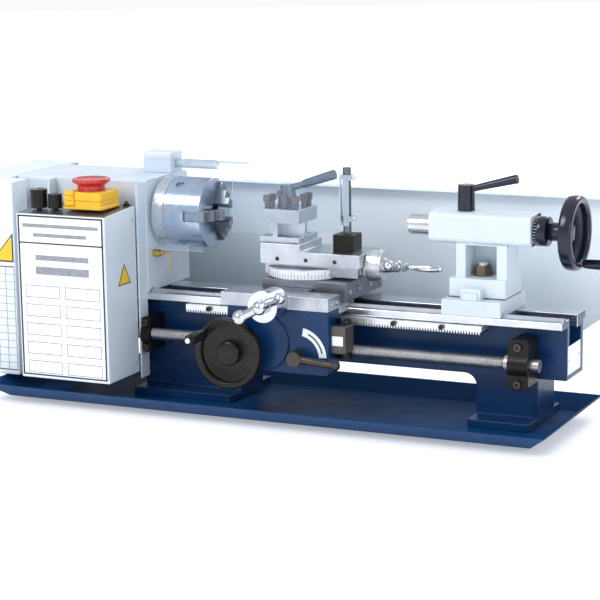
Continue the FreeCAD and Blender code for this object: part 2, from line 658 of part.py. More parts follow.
def gear_cover():
    """Moulded cover, L-shaped in plan, open towards the headstock."""
    def plan(wall, right):
        return [(d.cover_left + wall, d.cover_front + wall), (d.cover_right - wall, d.cover_front + wall),
                (d.cover_right - wall, d.box_rear - wall + 1), (right, d.box_rear - wall + 1),
                (right, d.cover_rear - wall), (d.cover_left + wall, d.cover_rear - wall)]
    edge = d.head_left - 1
    outer = prism_z("cover_outer", plan(0, edge), d.cover_bottom, d.cover_top)
    inner = prism_z("cover_inner", plan(d.cover_wall, edge + 5), d.cover_bottom + d.cover_wall,
                    d.cover_top - d.cover_wall)
    bar_hole = rod("cover_hole", d.spindle_radius + 3, (d.cover_left - 1, 0, 0), "x", 10)
    node("gear_cover", cut("cover", outer, inner, bar_hole))


# ---------------------------------------------------------------- control box

def control_box():
    def section(wall):
        return [(d.box_front + wall, d.box_bottom + wall), (d.box_front + wall, d.box_top_front - wall),
                (d.box_rear - wall, d.box_top_rear - wall), (d.box_rear - wall, d.box_bottom + wall)]
    outer = prism_x("box_outer", section(0), d.box_left, d.box_right)
    inner = prism_x("box_inner", section(d.box_sheet), d.box_left + d.box_sheet, d.box_right - d.box_sheet)
    shafts = [rod("knob_hole", 3.3, (x, y, 0), "z", 30) for x, y in
              ((d.speed_x, d.speed_y), (d.dir_x, d.dir_y))]
    node("control_box", cut("box", outer, inner, *shafts))


def control_box_bracket():
    """Sheet channel that carries the box: a back plate and two flanges past the leadscrew."""
    left, sheet_t = d.box_left, d.bracket_sheet
    back = slab("bracket_back", (left, d.bracket_right), (d.head_front - 2.6, d.head_front - 0.1),
                (d.way_top, 38))
    zone = (d.box_rear + 0.1, d.head_front - 0.1)
    flanges = [slab("bracket_flange", (x, x + sheet_t), zone, (d.bracket_bottom, 38))
               for x in (left, d.bracket_right - sheet_t)]
    hole = rod("bracket_hole", d.lead_radius + 1.2, (left - 5, d.lead_y, d.lead_z), "x", 140)
    node("control_box_bracket", cut("bracket", fuse("bracket_sheet", back, *flanges), hole))


def knob(label, x, y, radius, height):
    """Fluted cap with a pointer, on a shaft through the box's top."""
    base, top = d.knob_base, d.knob_base + height
    body = rod(label + "_round", radius, (x, y, base), "z", height)
    flutes = []
    for turn in range(0, 360, 45):
        out_x, out_y = math.cos(math.radians(turn)), math.sin(math.radians(turn))
        place = (x + (radius + 0.5) * out_x, y + (radius + 0.5) * out_y, base + 4)
        flutes.append(rod(label + "_flute", 1.2, place, "z", height))
    shaft = rod(label + "_shaft", 3, (x, y, 0), "z", base + 2)
    pointer = slab(label + "_mark", (x - 0.8, x + 0.8), (y, y + radius - 1), (top - 1, top + 0.6))
    node(label, fuse(label + "_solid", cut(label + "_body", body, *flutes), shaft, pointer))


def rounded_slab(name, radius, x, y, z):
    return rounded(name + "_round", slab(name, x, y, z), radius, lambda c, run: abs(run.z) > 0.9)


def emergency_stop():
    """Case, hinged lid and mushroom button; the lid turns on a pin between the case's ears."""
    x, y = (d.stop_left, d.stop_right), (d.stop_front, d.stop_rear)
    skirt, gap, wall, corner, ear, pin = d.stop_skirt, d.slide_gap, 3, 5, 5, 1.2
    room_x, room_y = (x[0] + wall, x[1] - wall), (y[0] + wall, y[1] - wall)
    hinge_y, hinge_z = d.stop_rear + 2.5, d.stop_seam - 2
    middle_x, middle_y = (x[0] + x[1]) / 2, (y[0] + y[1]) / 2
    base = rounded_slab("stop_case", corner, x, y, (d.stop_base, d.stop_seam))
    brim = rounded_slab("stop_brim", corner + 1, (x[0] - skirt, x[1] + skirt), (y[0] - skirt, y[1]),
                        (d.stop_base, d.stop_base + 3))
    ears = [slab("stop_ear", (a, a + ear), (y[1] - 6, y[1] + 5), (d.stop_base, d.stop_seam - 0.3))
            for a in (x[0] + 6, x[1] - 6 - ear)]
    room = slab("stop_room", room_x, room_y, (d.stop_base + 4, d.stop_seam + 1))
    shaft = rod("stop_pin", pin, (x[0] + 8, hinge_y, hinge_z), "x", x[1] - x[0] - 16)
    shell = cut("stop_shell", fuse("stop_block", base, brim, *ears), room)
    node("estop_base", fuse("stop_base", shell, shaft))

    lug = (x[0] + 13, x[1] - 13)
    lid = rounded_slab("lid_plate", corner, x, y, (d.stop_seam + gap, d.stop_top))
    under = slab("lid_room", room_x, room_y, (d.stop_seam - 1, d.stop_top - 3))
    knuckle = rod("lid_knuckle", 2.3, (lug[0], hinge_y, hinge_z), "x", lug[1] - lug[0])
    arm = slab("lid_arm", lug, (hinge_y - 2.2, hinge_y + 2.3), (hinge_z, hinge_z + 6))
    tongue = slab("lid_tongue", lug, (y[1] - 2, hinge_y), (d.stop_seam + gap, hinge_z + 6))
    solid = fuse("lid_solid", cut("lid_shell", lid, under), knuckle, arm, tongue)
    bore = rod("lid_bore", d.stop_neck + 0.4, (middle_x, middle_y, d.stop_seam), "z", 20)
    pin_way = rod("knuckle_bore", pin + d.run_gap, (x[0], hinge_y, hinge_z), "x", 70)
    node("estop_lid", cut("lid_bored", solid, bore, pin_way))

    low, top = d.stop_top - d.stop_stroke - 1, d.stop_top + 13.5
    neck = rod("stop_neck", d.stop_neck, (middle_x, middle_y, low), "z", d.stop_top + 9 - low)
    flare = taper("stop_flare", d.stop_neck, d.mushroom, (middle_x, middle_y, d.stop_top + 6), "z", 4)
    rim = rod("stop_rim", d.mushroom, (middle_x, middle_y, top - 3.5), "z", 3.5)
    dish = taper("stop_dish", d.mushroom - 6, d.mushroom - 1.5, (middle_x, middle_y, top - 1.2), "z", 2)
    node("estop_button", cut("button_dished", fuse("stop_button", neck, flare, rim), dish))


# ---------------------------------------------------------------- guards

def splash_guard():
    """Rear sheet with a forward lip and two tabs back to the headstock, one to the bed."""
    y0, y1 = d.guard_y - d.guard_sheet, d.guard_y
    sheet_body = prism_y("guard_sheet", [
        (d.guard_left, d.guard_bottom), (d.guard_cut_x, d.guard_bottom), (d.guard_right, d.guard_cut_z),
        (d.guard_right, d.guard_top), (d.guard_left, d.guard_top)], y0, y1)
    lip = slab("guard_lip", (d.guard_left, d.guard_right), (d.guard_y - d.guard_lip, d.guard_y),
               (d.guard_top - d.guard_sheet, d.guard_top))
    tabs = [slab("guard_tab", (x, x + 22), (d.head_rear + 0.1, d.guard_y), (-6, -3)) for x in (-200, -110)]
    feet = [slab("guard_tab_foot", (x, x + 22), (d.head_rear + 0.1, d.head_rear + 3), (-24, -3))
            for x in (-200, -110)]
    arm = slab("guard_arm", (296, 316), (d.wall_rear + 0.1, d.guard_y), (-130, -127))
    arm_foot = slab("guard_arm_foot", (296, 316), (d.wall_rear + 0.1, d.wall_rear + 3), (-150, -127))
    node("splash_guard", fuse("splash_sheet", sheet_body, lip, *tabs, *feet, arm, arm_foot))


def chuck_guard():
    """Bent clear sheet over the chuck, on a shaft into the switch block."""
    t = d.hood_sheet
    outside = [(d.hinge_y, d.hood_rear_z - 4), (d.hood_rear, d.hood_rear_z), (d.hood_crest, d.hood_crest_z),
               (d.hood_front, d.hood_front_z), (d.hood_front, d.hood_bottom)]
    inside = [(d.hood_front + t, d.hood_bottom), (d.hood_front + t, d.hood_front_z - 1.5),
              (d.hood_crest + 1.5, d.hood_crest_z - t), (d.hood_rear, d.hood_rear_z - t),
              (d.hinge_y, d.hood_rear_z - 4 - t)]
    sheet_body = prism_x("hood_sheet", outside + inside, d.hood_left, d.hood_right)
    shaft = rod("hood_shaft", 5, (d.head_right - 13, d.hinge_y, d.hinge_z), "x", 66)
    web = slab("hood_web", (d.hood_left, d.hood_left + 40), (d.hinge_y - 5, d.hinge_y + 1),
               (d.hinge_z, d.hood_rear_z - 4))
    node("chuck_guard", fuse("hood", sheet_body, shaft, web))


def guard_hinge_block():
    block = slab("hinge_block", (-104, d.head_right - 1), (d.hinge_y - 14, d.hinge_y + 14),
                 (d.head_top + 0.1, d.hinge_z + 14))
    block = rounded("hinge_round", block, 3, lambda c, run: abs(run.x) > 0.9 and c.z > 50)
    bore = rod("hinge_bore", 5 + d.run_gap, (d.head_right - 14, d.hinge_y, d.hinge_z), "x", 30)
    node("guard_hinge_block", cut("switch_block", block, bore))


# ---------------------------------------------------------------- leadscrew brackets

def leadscrew_bracket(label, x, width, low, high):
    plate = slab(label + "_plate", (x, x + width), (d.lead_y - 10, d.wall_front - 0.1), (low, high))
    plate = rounded(label + "_round", plate, 4, lambda c, run: abs(run.y) > 0.9)
    boss = rod(label + "_boss", 14, (x, d.lead_y, d.lead_z), "x", width)
    bore = rod(label + "_bore", d.lead_radius + d.run_gap, (x - 1, d.lead_y, d.lead_z), "x", width + 2)
    node(label, cut(label + "_bored", fuse(label + "_solid", plate, boss), bore))


# ---------------------------------------------------------------- carriage

def saddle():
    gap = d.slide_gap
    low = d.way_top + gap
    x = (d.saddle_left, d.saddle_right)
    wings = slab("saddle_wings", x, (d.saddle_bar_rear, d.saddle_rear), (low, d.wing_top))
    bar = slab("saddle_bar", x, (d.saddle_front, d.saddle_bar_rear + 1), (d.apron_top + 0.1, d.saddle_top))
    shelf = slab("saddle_shelf", x, (d.saddle_bar_rear, -d.way_half - gap), (-94, d.wing_top))
    hook = slab("saddle_hook", x, (d.way_half + gap, d.saddle_rear), (-106, d.wing_top))
    gib = slab("saddle_gib", x, (d.wall_rear + 1, d.way_half + 2), (-106, d.way_top - d.way_thick - gap))
    ridge = prism_y("saddle_ridge", [
        (d.ridge_left + d.ridge_undercut, d.wing_top - 1), (d.ridge_right - d.ridge_undercut,
                                                            d.wing_top - 1),
        (d.ridge_right, d.saddle_top), (d.ridge_left, d.saddle_top)], d.saddle_bar_rear - 1, d.saddle_rear)
    notches = [slab("saddle_notch", nx, (-20, d.saddle_rear + 1), (-90.5, -70))
               for nx in ((d.saddle_left - 1, d.saddle_left + 24),
                          (d.saddle_right - 24, d.saddle_right + 1))]
    collar = rod("feed_collar", d.collar_radius, (d.cross_screw_x, d.saddle_front + 1, d.cross_screw_z), "-y", 21)
    screw_way = rod("saddle_bore", 5.3, (d.cross_screw_x, d.saddle_front - 21, d.cross_screw_z), "y", 80)
    vee = prism_x("saddle_vee", vee_groove(), d.saddle_left - 1, d.saddle_right + 1)
    solid = fuse("saddle_solid", wings, bar, shelf, hook, gib, ridge, collar)
    node("saddle", cut("saddle_machined", solid, *notches, screw_way, vee))


def apron():
    front = d.saddle_front
    plate = slab("apron_plate", (d.apron_left, d.saddle_right), (front, d.apron_rear),
                 (d.apron_bottom, d.apron_top))
    plate = rounded("apron_round", plate, 5, lambda c, run: abs(run.y) > 0.9 and c.z < -150)
    room = slab("apron_room", (d.apron_left + 8, 118), (front + 8, d.apron_rear + 1),
                (d.apron_bottom + 8, -96))
    boss = rod("apron_boss", d.boss_radius, (d.boss_x, front + 1, d.boss_z), "-y", 4)
    seat = rod("collar_seat", d.collar_radius + 0.1, (d.cross_screw_x, front + 2, d.cross_screw_z), "-y", 9)
    shaft = rod("wheel_bore", 6 + d.run_gap, (d.wheel_x, -130, d.wheel_z), "y", 75)
    lever_bore = rod("lever_bore", 5 + d.run_gap, (d.lever_x, -130, d.lever_z), "y", 75)
    housing = slab("dial_housing", (d.saddle_right - 1, d.dial_right), (-84, -60.5), (-133, d.dial_top))
    spindle_bore = rod("dial_bore", 3 + d.run_gap, (190.5, d.dial_y, -140), "z", 60)
    node("apron", cut("apron_body", fuse("apron_solid", plate, boss, housing), room, shaft, lever_bore,
                      spindle_bore, seat))


def carriage_handwheel():
    """Dished cast wheel with three openings, on a shaft through the apron."""
    r = d.wheel_radius
    front = d.wheel_front
    rim = cut("rim", rod("rim_out", r, (d.wheel_x, front + 12, d.wheel_z), "-y", 12),
              rod("rim_in", r - 8, (d.wheel_x, front + 13, d.wheel_z), "-y", 14))
    web = rod("wheel_web", r - 6, (d.wheel_x, front + 12, d.wheel_z), "-y", 4)
    hub = rod("wheel_hub", 11, (d.wheel_x, front + 20, d.wheel_z), "-y", 24)
    openings = []
    for middle in (20, 140, 260):
        ring = Part.makeCylinder(28.5, 30, V(0, 0, -15)).cut(Part.makeCylinder(16, 30, V(0, 0, -15)))
        wedge = [V(0, 0, -15)] + [V(60 * math.cos(math.radians(middle + a)),
                                    60 * math.sin(math.radians(middle + a)), -15)
                                  for a in (-35, 0, 35)]
        sector = Part.Face(Part.makePolygon(wedge + wedge[:1])).extrude(V(0, 0, 30))
        opening = ring.common(sector)
        opening.rotate(V(0, 0, 0), V(1, 0, 0), 90)
        opening.translate(V(DIMENSIONS["wheel_x"], DIMENSIONS["wheel_front"] + 10, DIMENSIONS["wheel_z"]))
        openings.append(plain("spoke_gap", opening))
    shaft = rod("wheel_shaft", 6, (d.wheel_x, front + 20, d.wheel_z), "y", 35)
    node("carriage_handwheel", fuse("wheel", cut("wheel_spoked", fuse("wheel_disc", rim, web), *openings),
                                    hub, shaft,
                                    rod("grip_pin", 3, grip_at(d.wheel_x, d.wheel_z, front, 140, 33), "-y",
                                        44)))


def grip_at(x, z, y, angle, radius):
    return (x + radius * math.cos(math.radians(angle)), y + 2, z + radius * math.sin(math.radians(angle)))


def revolved_grip(label, at, axis, length, radius):
    """Handle that spins on its pin: waisted barrel with a through bore."""
    corners = [(3.1, 0), (radius - 2, 0), (radius - 1, 4), (radius, length * 0.6),
               (radius - 0.5, length - 3),
               (radius - 2.5, length), (3.1, length)]
    node(label, turned(label + "_barrel", corners, at, axis))


def carriage_handle():
    x, y, z = grip_at(d.wheel_x, d.wheel_z, d.wheel_front, 140, 33)
    revolved_grip("carriage_handle", (x, y - 2.6, z), "-y", DIMENSIONS["grip_length"] - 6, 6.5)


def half_nut_lever():
    front = d.saddle_front
    hub = rod("lever_hub", 8.5, (d.lever_x, front - 0.3, d.lever_z), "-y", 15)
    lean = FreeCAD.Rotation(V(0, 1, 0), 95)
    arm = taper("lever_arm", 5, 3.6, (d.lever_x, front - 10, d.lever_z), lean, d.lever_length - 9)
    tip = ball("lever_tip", 5, (d.lever_x + 48, front - 10, d.lever_z - 4.2))
    shaft = rod("lever_shaft", 5, (d.lever_x, front - 1, d.lever_z), "y", 28)
    node("half_nut_lever", fuse("lever", hub, arm, tip, shaft))


def half_nuts():
    open_gap = d.nut_open
    zone_x, zone_y = (d.nut_left, d.nut_right), (d.apron_rear + 0.5, -42.6)
    for label, low, high, middle in (
            ("half_nut_upper", d.lead_z + open_gap + 0.2, d.lead_z + open_gap + 13, d.lead_z + open_gap),
            ("half_nut_lower", d.lead_z - open_gap - 13, d.lead_z - open_gap - 0.2, d.lead_z - open_gap)):
        block = slab(label + "_block", zone_x, zone_y, (low, high))
        bore = rod(label + "_thread", d.lead_radius + 0.4, (d.nut_left - 1, d.lead_y, middle), "x", 40)
        node(label, cut(label + "_half", block, bore))


def thread_dial():
    at = (190.5, d.dial_y)
    face = rod("dial_face", 8, (*at, d.dial_top + 0.3), "z", 4)
    rim = taper("dial_rim", 8, 6.5, (*at, d.dial_top + 4.3), "z", 2.5)
    shaft = rod("dial_shaft", 3, (*at, -141), "z", 41)
    gear = rod("dial_gear", 8, (*at, -141), "z", 6)
    node("thread_dial", fuse("dial", face, rim, shaft, gear))


# ---------------------------------------------------------------- cross slide

def cross_slide():
    gap = d.slide_gap
    block = slab("cross_block", (d.cross_left, d.cross_right), (d.cross_front, d.cross_rear),
                 (d.wing_top + gap, d.cross_top))
    groove = prism_y("cross_groove", [
        (d.ridge_left + d.ridge_undercut - gap * 2, d.wing_top - 1),
        (d.ridge_right - d.ridge_undercut + gap * 2, d.wing_top - 1),
        (d.ridge_right + gap * 2, d.saddle_top + gap), (d.ridge_left - gap * 2, d.saddle_top + gap)],
        d.cross_front - 1, d.cross_rear + 1)
    node("cross_slide", cut("cross_machined", block, groove))


def cross_crank():
    x, z = d.cross_screw_x, d.cross_screw_z
    front = d.dial_front
    dial = rod("cross_dial", 17.5, (x, front, z), "-y", 10)
    drum = rod("cross_drum", 15, (x, front + 1.6, z), "-y", 2)
    tilt = math.radians(DIMENSIONS["crank_tilt"])
    throw = DIMENSIONS["crank_throw"]
    arm_y = front - 16
    high = (x + throw * math.cos(tilt), arm_y, z + throw * math.sin(tilt))
    low = (x - throw * math.cos(tilt), arm_y, z - throw * math.sin(tilt))
    along = FreeCAD.Rotation(V(0, 0, 1), V(math.cos(tilt), 0, math.sin(tilt)))
    arm = taper("cross_arm", 5.5, 4.5, low, along, 2 * throw)
    hub = ball("cross_hub", 8, (x, arm_y, z), along)
    shaft = rod("cross_screw", 5, (x, arm_y, z), "y", 62)
    neck = rod("cross_neck", 7, (x, front - 8, z), "-y", 8)
    pin = rod("cross_pin", 2.6, (high[0], arm_y, high[2]), "-y", 44)
    node("cross_crank", fuse("crank", dial, drum, arm, ball("cross_low", 8.5, low, along),
                             ball("cross_high", 6.5, high, along), hub, shaft, neck, pin))


def cross_handle():
    tilt = math.radians(DIMENSIONS["crank_tilt"])
    throw = DIMENSIONS["crank_throw"]
    at = (d.cross_screw_x + throw * math.cos(tilt), d.dial_front - 16 - 6.9,
          d.cross_screw_z + throw * math.sin(tilt))
    taper_handle("cross_handle", at, "-y")


def taper_handle(label, at, axis):
    corners = [(2.7, 0), (3.6, 0), (3.2, 4), (4.6, 12), (5, 24), (4, 33), (2.7, 35.5)]
    node(label, turned(label + "_barrel", corners, at, axis))


# ---------------------------------------------------------------- compound slide

def compound_base():
    gap = d.slide_gap
    low = d.cross_top + gap
    disc = rod("swivel", d.swivel_radius, (d.swivel_x, 0, low), "z", d.swivel_height - 1)
    bar = slab("base_bar", (d.base_left, d.base_right), (-d.base_half, d.base_half),
               (-61, d.top_bottom - gap))
    dove = prism_x("base_dove", [
        (-d.dove_half + d.dove_undercut, d.top_bottom - 1), (d.dove_half - d.dove_undercut,
                d.top_bottom - 1),
        (d.dove_half, d.top_bottom + d.dove_height), (-d.dove_half, d.top_bottom + d.dove_height)],
        d.base_left, d.base_right - 14)
    screw_way = rod("base_screw_way", 5.6, (d.top_right - 35, 0, d.top_screw_z), "x", 40)
    node("compound_base", cut("base_bored", fuse("base", disc, bar, dove), screw_way))


def compound_slide():
    gap = d.slide_gap
    deck = slab("top_deck_block", (d.top_left, d.top_right), (-d.top_half, d.top_half),
                (d.top_bottom, d.top_deck))
    platform = slab("platform", (d.top_left, d.platform_right), (-d.top_half, d.top_half),
                    (d.top_deck - 1, d.platform_top))
    groove = prism_x("top_groove", [
        (-d.dove_half + d.dove_undercut - 2 * gap, d.top_bottom - 1),
        (d.dove_half - d.dove_undercut + 2 * gap, d.top_bottom - 1),
        (d.dove_half + 2 * gap, d.top_bottom + d.dove_height + gap),
        (-d.dove_half - 2 * gap, d.top_bottom + d.dove_height + gap)], d.top_left - 1, d.top_right + 1)
    gib_screws = [rod("gib_screw", 2.2, (x, -d.top_half - 1, -43), "y", 4) for x in (93, 128, 163)]
    stud = rod("post_stud", 4, (d.post_x, d.post_y, d.platform_top - 1), "z",
               d.post_top + 12 - d.platform_top)
    bearing = slab("screw_bearing", (d.top_right - 4, d.top_right - 0.2), (-12, 12), (-59, d.top_deck - 2))
    cleared = cut("bearing_bore", fuse("slide_solid", cut("slide_groove", fuse("slide_block", deck,
            platform), groove),
                                       bearing, stud),
                  rod("top_bore", 5.3, (d.top_right - 30, 0, d.top_screw_z), "x", 40), *gib_screws)
    node("compound_slide", cleared)


def compound_crank():
    x, z = d.top_right, d.top_screw_z
    dial = rod("top_dial", 18, (x + 0.6, 0, z), "x", 14)
    disc = rod("top_disc", 17, (x + 14, 0, z), "x", 4)
    arm_x = x + 32
    throw, fall = 24, -4.9
    along = FreeCAD.Rotation(V(0, 0, 1), V(0, throw, fall))
    low, high = (arm_x, -throw, z - fall), (arm_x, throw, z + fall)
    arm = taper("top_arm", 4.2, 4.2, low, along, 2 * math.hypot(throw, fall))
    neck = taper("top_neck", 8.5, 6, (x + 18, 0, z), "x", 16)
    shaft = rod("top_screw", 5, (x - 28, 0, z), "x", 40)
    pin = rod("top_pin", 2.6, high, "x", 44)
    balls = [ball("top_low", 6, low, along), ball("top_high", 6, high, along),
             ball("top_hub", 7, (arm_x, 0, z), along)]
    node("compound_crank", fuse("top_crank", dial, disc, arm, *balls, neck, shaft, pin))


def compound_handle():
    taper_handle("compound_handle", (d.top_right + 32 + 6.4, 24, d.top_screw_z - 4.9), "x")


# ---------------------------------------------------------------- tool post and chip shield

def quarter_turns(name, make):
    """Four copies of a shape, a quarter turn apart about the tool post's axis."""
    pieces = []
    for angle in (0, 90, 180, 270):
        shape = make()
        shape.rotate(V(DIMENSIONS["post_x"], DIMENSIONS["post_y"], 0), V(0, 0, 1), angle)
        pieces.append(plain(name, shape))
    return pieces


def tool_post():
    x, y, half = d.post_x, d.post_y, d.post_half
    low = d.platform_top + d.slide_gap
    block = slab("post_block", (x - half, x + half), (y - half, y + half), (low, d.post_top))

    def slot():
        depth, high = DIMENSIONS["slot_depth"], DIMENSIONS["post_slot_top"]
        bottom = DIMENSIONS["platform_top"] + DIMENSIONS["post_flange"]
        front = DIMENSIONS["post_y"] - DIMENSIONS["post_half"] - 1
        return Part.makeBox(60, depth + 1, high - bottom,
                            V(DIMENSIONS["post_x"] + DIMENSIONS["slot_start"], front, bottom))

    def holes():
        centre_x, front = DIMENSIONS["post_x"], DIMENSIONS["post_y"] - 17.5
        made = [Part.makeCylinder(3.05, 20, V(centre_x + off, front, -6)) for off in (4.5, 17.5)]
        return made[0].fuse(made[1])

    bore = rod("post_bore", 4 + d.run_gap, (x, y, low - 1), "z", 60)
    tools = quarter_turns("tool_slot", slot) + quarter_turns("bolt_hole", holes)
    node("tool_post", cut("post", block, bore, *tools))


def tool_post_bolts():
    def bolts():
        centre_x, front, top = DIMENSIONS["post_x"], DIMENSIONS["post_y"] - 17.5, DIMENSIONS["post_top"]
        made = []
        for off in (4.5, 17.5):
            shank = Part.makeCylinder(3, 22, V(centre_x + off, front, top - 14.5))
            head = Part.makeBox(7, 7, 8, V(centre_x + off - 3.5, front - 3.5, top + 7))
            made.append(shank.fuse(head))
        return Part.makeCompound(made)
    node("tool_post_bolts", group("bolts", *quarter_turns("bolt", bolts)))


def tool_post_lever():
    x, y, low = d.post_x, d.post_y, d.post_top + d.slide_gap
    base = taper("lever_cone", 12.5, 9, (x, y, low), "z", 15)
    cap = taper("lever_cap", 9, 8, (x, y, low + 15), "z", 10)
    bore = rod("lever_thread", 4 + d.run_gap, (x, y, low - 1), "z", 16)
    lean = FreeCAD.Rotation(V(0, 1, 0), 72)
    arm = rod("post_arm", 3.8, (x, y, low + 20), lean, 30)
    grip = taper("post_grip", 4.6, 5.6, (x + 20, y, low + 26.5), lean, 40)
    node("tool_post_lever", fuse("post_lever", cut("lever_body", fuse("lever_boss", base, cap), bore), arm,
                                 grip))


def guard_post():
    x = d.stand_x
    block = slab("stand_block", (x - 12, x + 12), (-14, 13), (d.top_deck + 0.05, d.stand_block))
    block = rounded("stand_round", block, 1.2, lambda c, run: abs(run.z) > 0.9)
    bar = rod("stand_bar", d.stand_radius, (x, 0, d.stand_block - 1), "z", d.stand_top - d.stand_block + 1)
    node("guard_post", fuse("stand", block, bar))


def tool_guard():
    """Clear chip shield: a front panel and an angled wing, on two collars that turn on the post."""
    t, x = d.shield_sheet, d.stand_x
    plan = [(d.shield_left, d.shield_y - t), (d.shield_fold + 1, d.shield_y - t), (x - 4.5, -10),
            (x - 4.5, -6.2), (x - 7, -7), (d.shield_fold - 1, d.shield_y), (d.shield_left, d.shield_y)]
    sheet_body = prism_z("shield_sheet", plan, d.shield_bottom, d.shield_top)
    lug = slab("shield_lug", (x - 6, x + 4), (-10, -4), (d.shield_bottom + 6, d.shield_top - 6))
    bore = rod("collar_bore", d.stand_radius + 0.3, (x, 0, d.shield_bottom), "z", 80)
    collars = [rod("collar", d.stand_radius + 2.6, (x, 0, z - 3), "z", 6) for z in (2, 48)]
    screws = [rod("collar_screw", 2.4, (x + d.stand_radius + 1.2, 0, z), "x", 5) for z in (2, 48)]
    node("tool_guard", cut("shield_bored", fuse("shield", sheet_body, lug, *collars, *screws), bore))


# ---------------------------------------------------------------- tailstock

def tailstock_base():
    low = d.way_top + d.slide_gap
    block = slab("tail_block", (d.tail_left, d.tail_right), (-d.way_half, d.way_half),
                 (low, d.tail_base_top))
    vee = prism_x("tail_vee", vee_groove(), d.tail_left - 1, d.tail_right + 1)
    tongue = slab("tail_tongue", (d.tail_left + 8, d.tail_right - 8), (-9, 9), (low - 8, low + 1))
    bore = rod("clamp_way", 5.5, (326, 0, -120), "z", 60)
    stud = rod("clamp_stud", 5, (326, 0, -124), "z", 86)
    plate = slab("clamp_plate", (302, 350), (-14, 22.5), (-124, -116))
    casting = cut("tail_base", fuse("tail_base_solid", block, tongue), vee, bore)
    node("tailstock_base", group("tail_base_set", casting, fuse("clamp_bolt", stud, plate)))


def tailstock_body():
    foot = slab("tail_foot", (d.tail_left + 3, d.tail_right), (-25, 28),
                (d.tail_base_top + 0.2, d.tail_foot_top))
    column = slab("tail_column", (d.column_left, d.tail_right), (-d.barrel_half, d.column_rear),
                  (d.tail_foot_top - 1, d.barrel_low + 1))
    barrel = slab("tail_barrel", (d.barrel_left, d.barrel_right), (-d.barrel_half, d.barrel_half),
                  (d.barrel_low, d.barrel_top))
    barrel = rounded("tail_barrel_round", barrel, 7, lambda c, run: abs(run.x) > 0.9)
    pocket = slab("tail_pocket", (d.pocket_left, d.pocket_right), (-d.barrel_half - 1, 12),
                  (d.tail_foot_top, d.barrel_low - 0.5))
    bore = rod("quill_bore", d.quill_radius + d.run_gap, (d.barrel_left - 1, 0, 0), "x", 130)
    stud_way = rod("stud_way", 7, (326, 0, -80), "z", 40)
    lock_way = rod("lock_way", 4 + d.run_gap, (d.lock_x, 0, 11.6), "z", 20)
    node("tailstock_body", cut("tail_casting", fuse("tail_solid", foot, column, barrel), pocket, bore,
                               stud_way, lock_way))


def quill():
    barrel = rod("quill_round", d.quill_radius, (d.quill_tip, 0, 0), "x", d.quill_end - d.quill_tip)
    socket = taper("morse_socket", 8.9, 7.3, (d.quill_tip - 0.01, 0, 0), "x", 64)
    screw_room = rod("quill_thread", 5.4, (d.quill_tip + 60, 0, 0), "x", 90)
    node("quill", cut("quill_bored", barrel, socket, screw_room))


def tailstock_handwheel():
    """Dished wheel on the quill's screw, with its black sleeve on the casting."""
    x = d.tail_wheel_x
    rim = cut("tail_rim", rod("tail_rim_out", 40, (x - 15, 0, 0), "x", 15),
              rod("tail_rim_in", 31, (x - 11, 0, 0), "x", 20))
    hub = rod("tail_hub", 10, (x - 35, 0, 0), "x", 27)
    sleeve = rod("tail_sleeve", 16, (d.barrel_right + 0.3, 0, 0), "x", 14.2)
    screw = rod("tail_screw", 5, (x - 118, 0, 0), "x", 100)
    pin = rod("tail_pin", 3, (x - 3, 5, -33.5), "x", 60)
    node("tailstock_handwheel", fuse("tail_wheel", rim, hub, sleeve, screw, pin))


def tailstock_handle():
    revolved_grip("tailstock_handle", (d.tail_wheel_x + 0.6, 5, -33.5), "x", 56, 6)


def quill_lock_lever():
    x, low = d.lock_x, d.barrel_top + 0.3
    hub = taper("lock_hub", 9.4, 9, (x, 0, low), "z", 28)
    stud = rod("lock_stud", 4, (x, 0, 12), "z", 12)
    lean = FreeCAD.Rotation(V(0, 1, 0), 76)
    arm = taper("lock_arm", 3.2, 5, (x, 0, low + 22), lean, 60)
    node("quill_lock_lever", fuse("lock_lever", hub, stud, arm))


def tailstock_clamp():
    """Clamp nut and washer in the casting's window, turning on the clamp stud."""
    nut = Part.Face(Part.makePolygon(
        [V(326 + 9.5 * math.cos(math.radians(60 * k)), 9.5 * math.sin(math.radians(60 * k)), -49.8)
         for k in range(7)])).extrude(V(0, 0, 9))
    washer = rod("clamp_washer", 10.5, (326, 0, d.tail_foot_top + 0.2), "z", 2.3)
    thread = rod("clamp_thread", 5 + d.run_gap, (326, 0, -60), "z", 40)
    node("tailstock_clamp", cut("clamp", fuse("clamp_solid", plain("clamp_hex", nut), washer), thread))


for build in (
        rubber_feet, chip_tray, bed, rack, frame_screws, headstock, spindle_bearings, spindle, chuck_body,
        chuck_scroll, chuck_jaws, change_gears, drive_pulley, drive_belt, motor, gear_cover, control_box,
        control_box_bracket, emergency_stop, splash_guard, chuck_guard, guard_hinge_block, saddle, apron,
        carriage_handwheel, carriage_handle, half_nut_lever, half_nuts, thread_dial, cross_slide, cross_crank,
        cross_handle, compound_base, compound_slide, compound_crank, compound_handle, tool_post,
        tool_post_bolts, tool_post_lever, guard_post, tool_guard, tailstock_base, tailstock_body, quill,
        tailstock_handwheel, tailstock_handle, quill_lock_lever, tailstock_clamp):
    build()
knob("speed_knob", d.speed_x, d.speed_y, d.speed_radius, 21)
knob("direction_knob", d.dir_x, d.dir_y, d.dir_radius, 16)
leadscrew_bracket("leadscrew_bracket_left", d.lead_bracket_left, 11, -156, -115)
leadscrew_bracket("leadscrew_bracket_right", d.lead_bracket_right, d.lead_bracket_width, -161, -108)

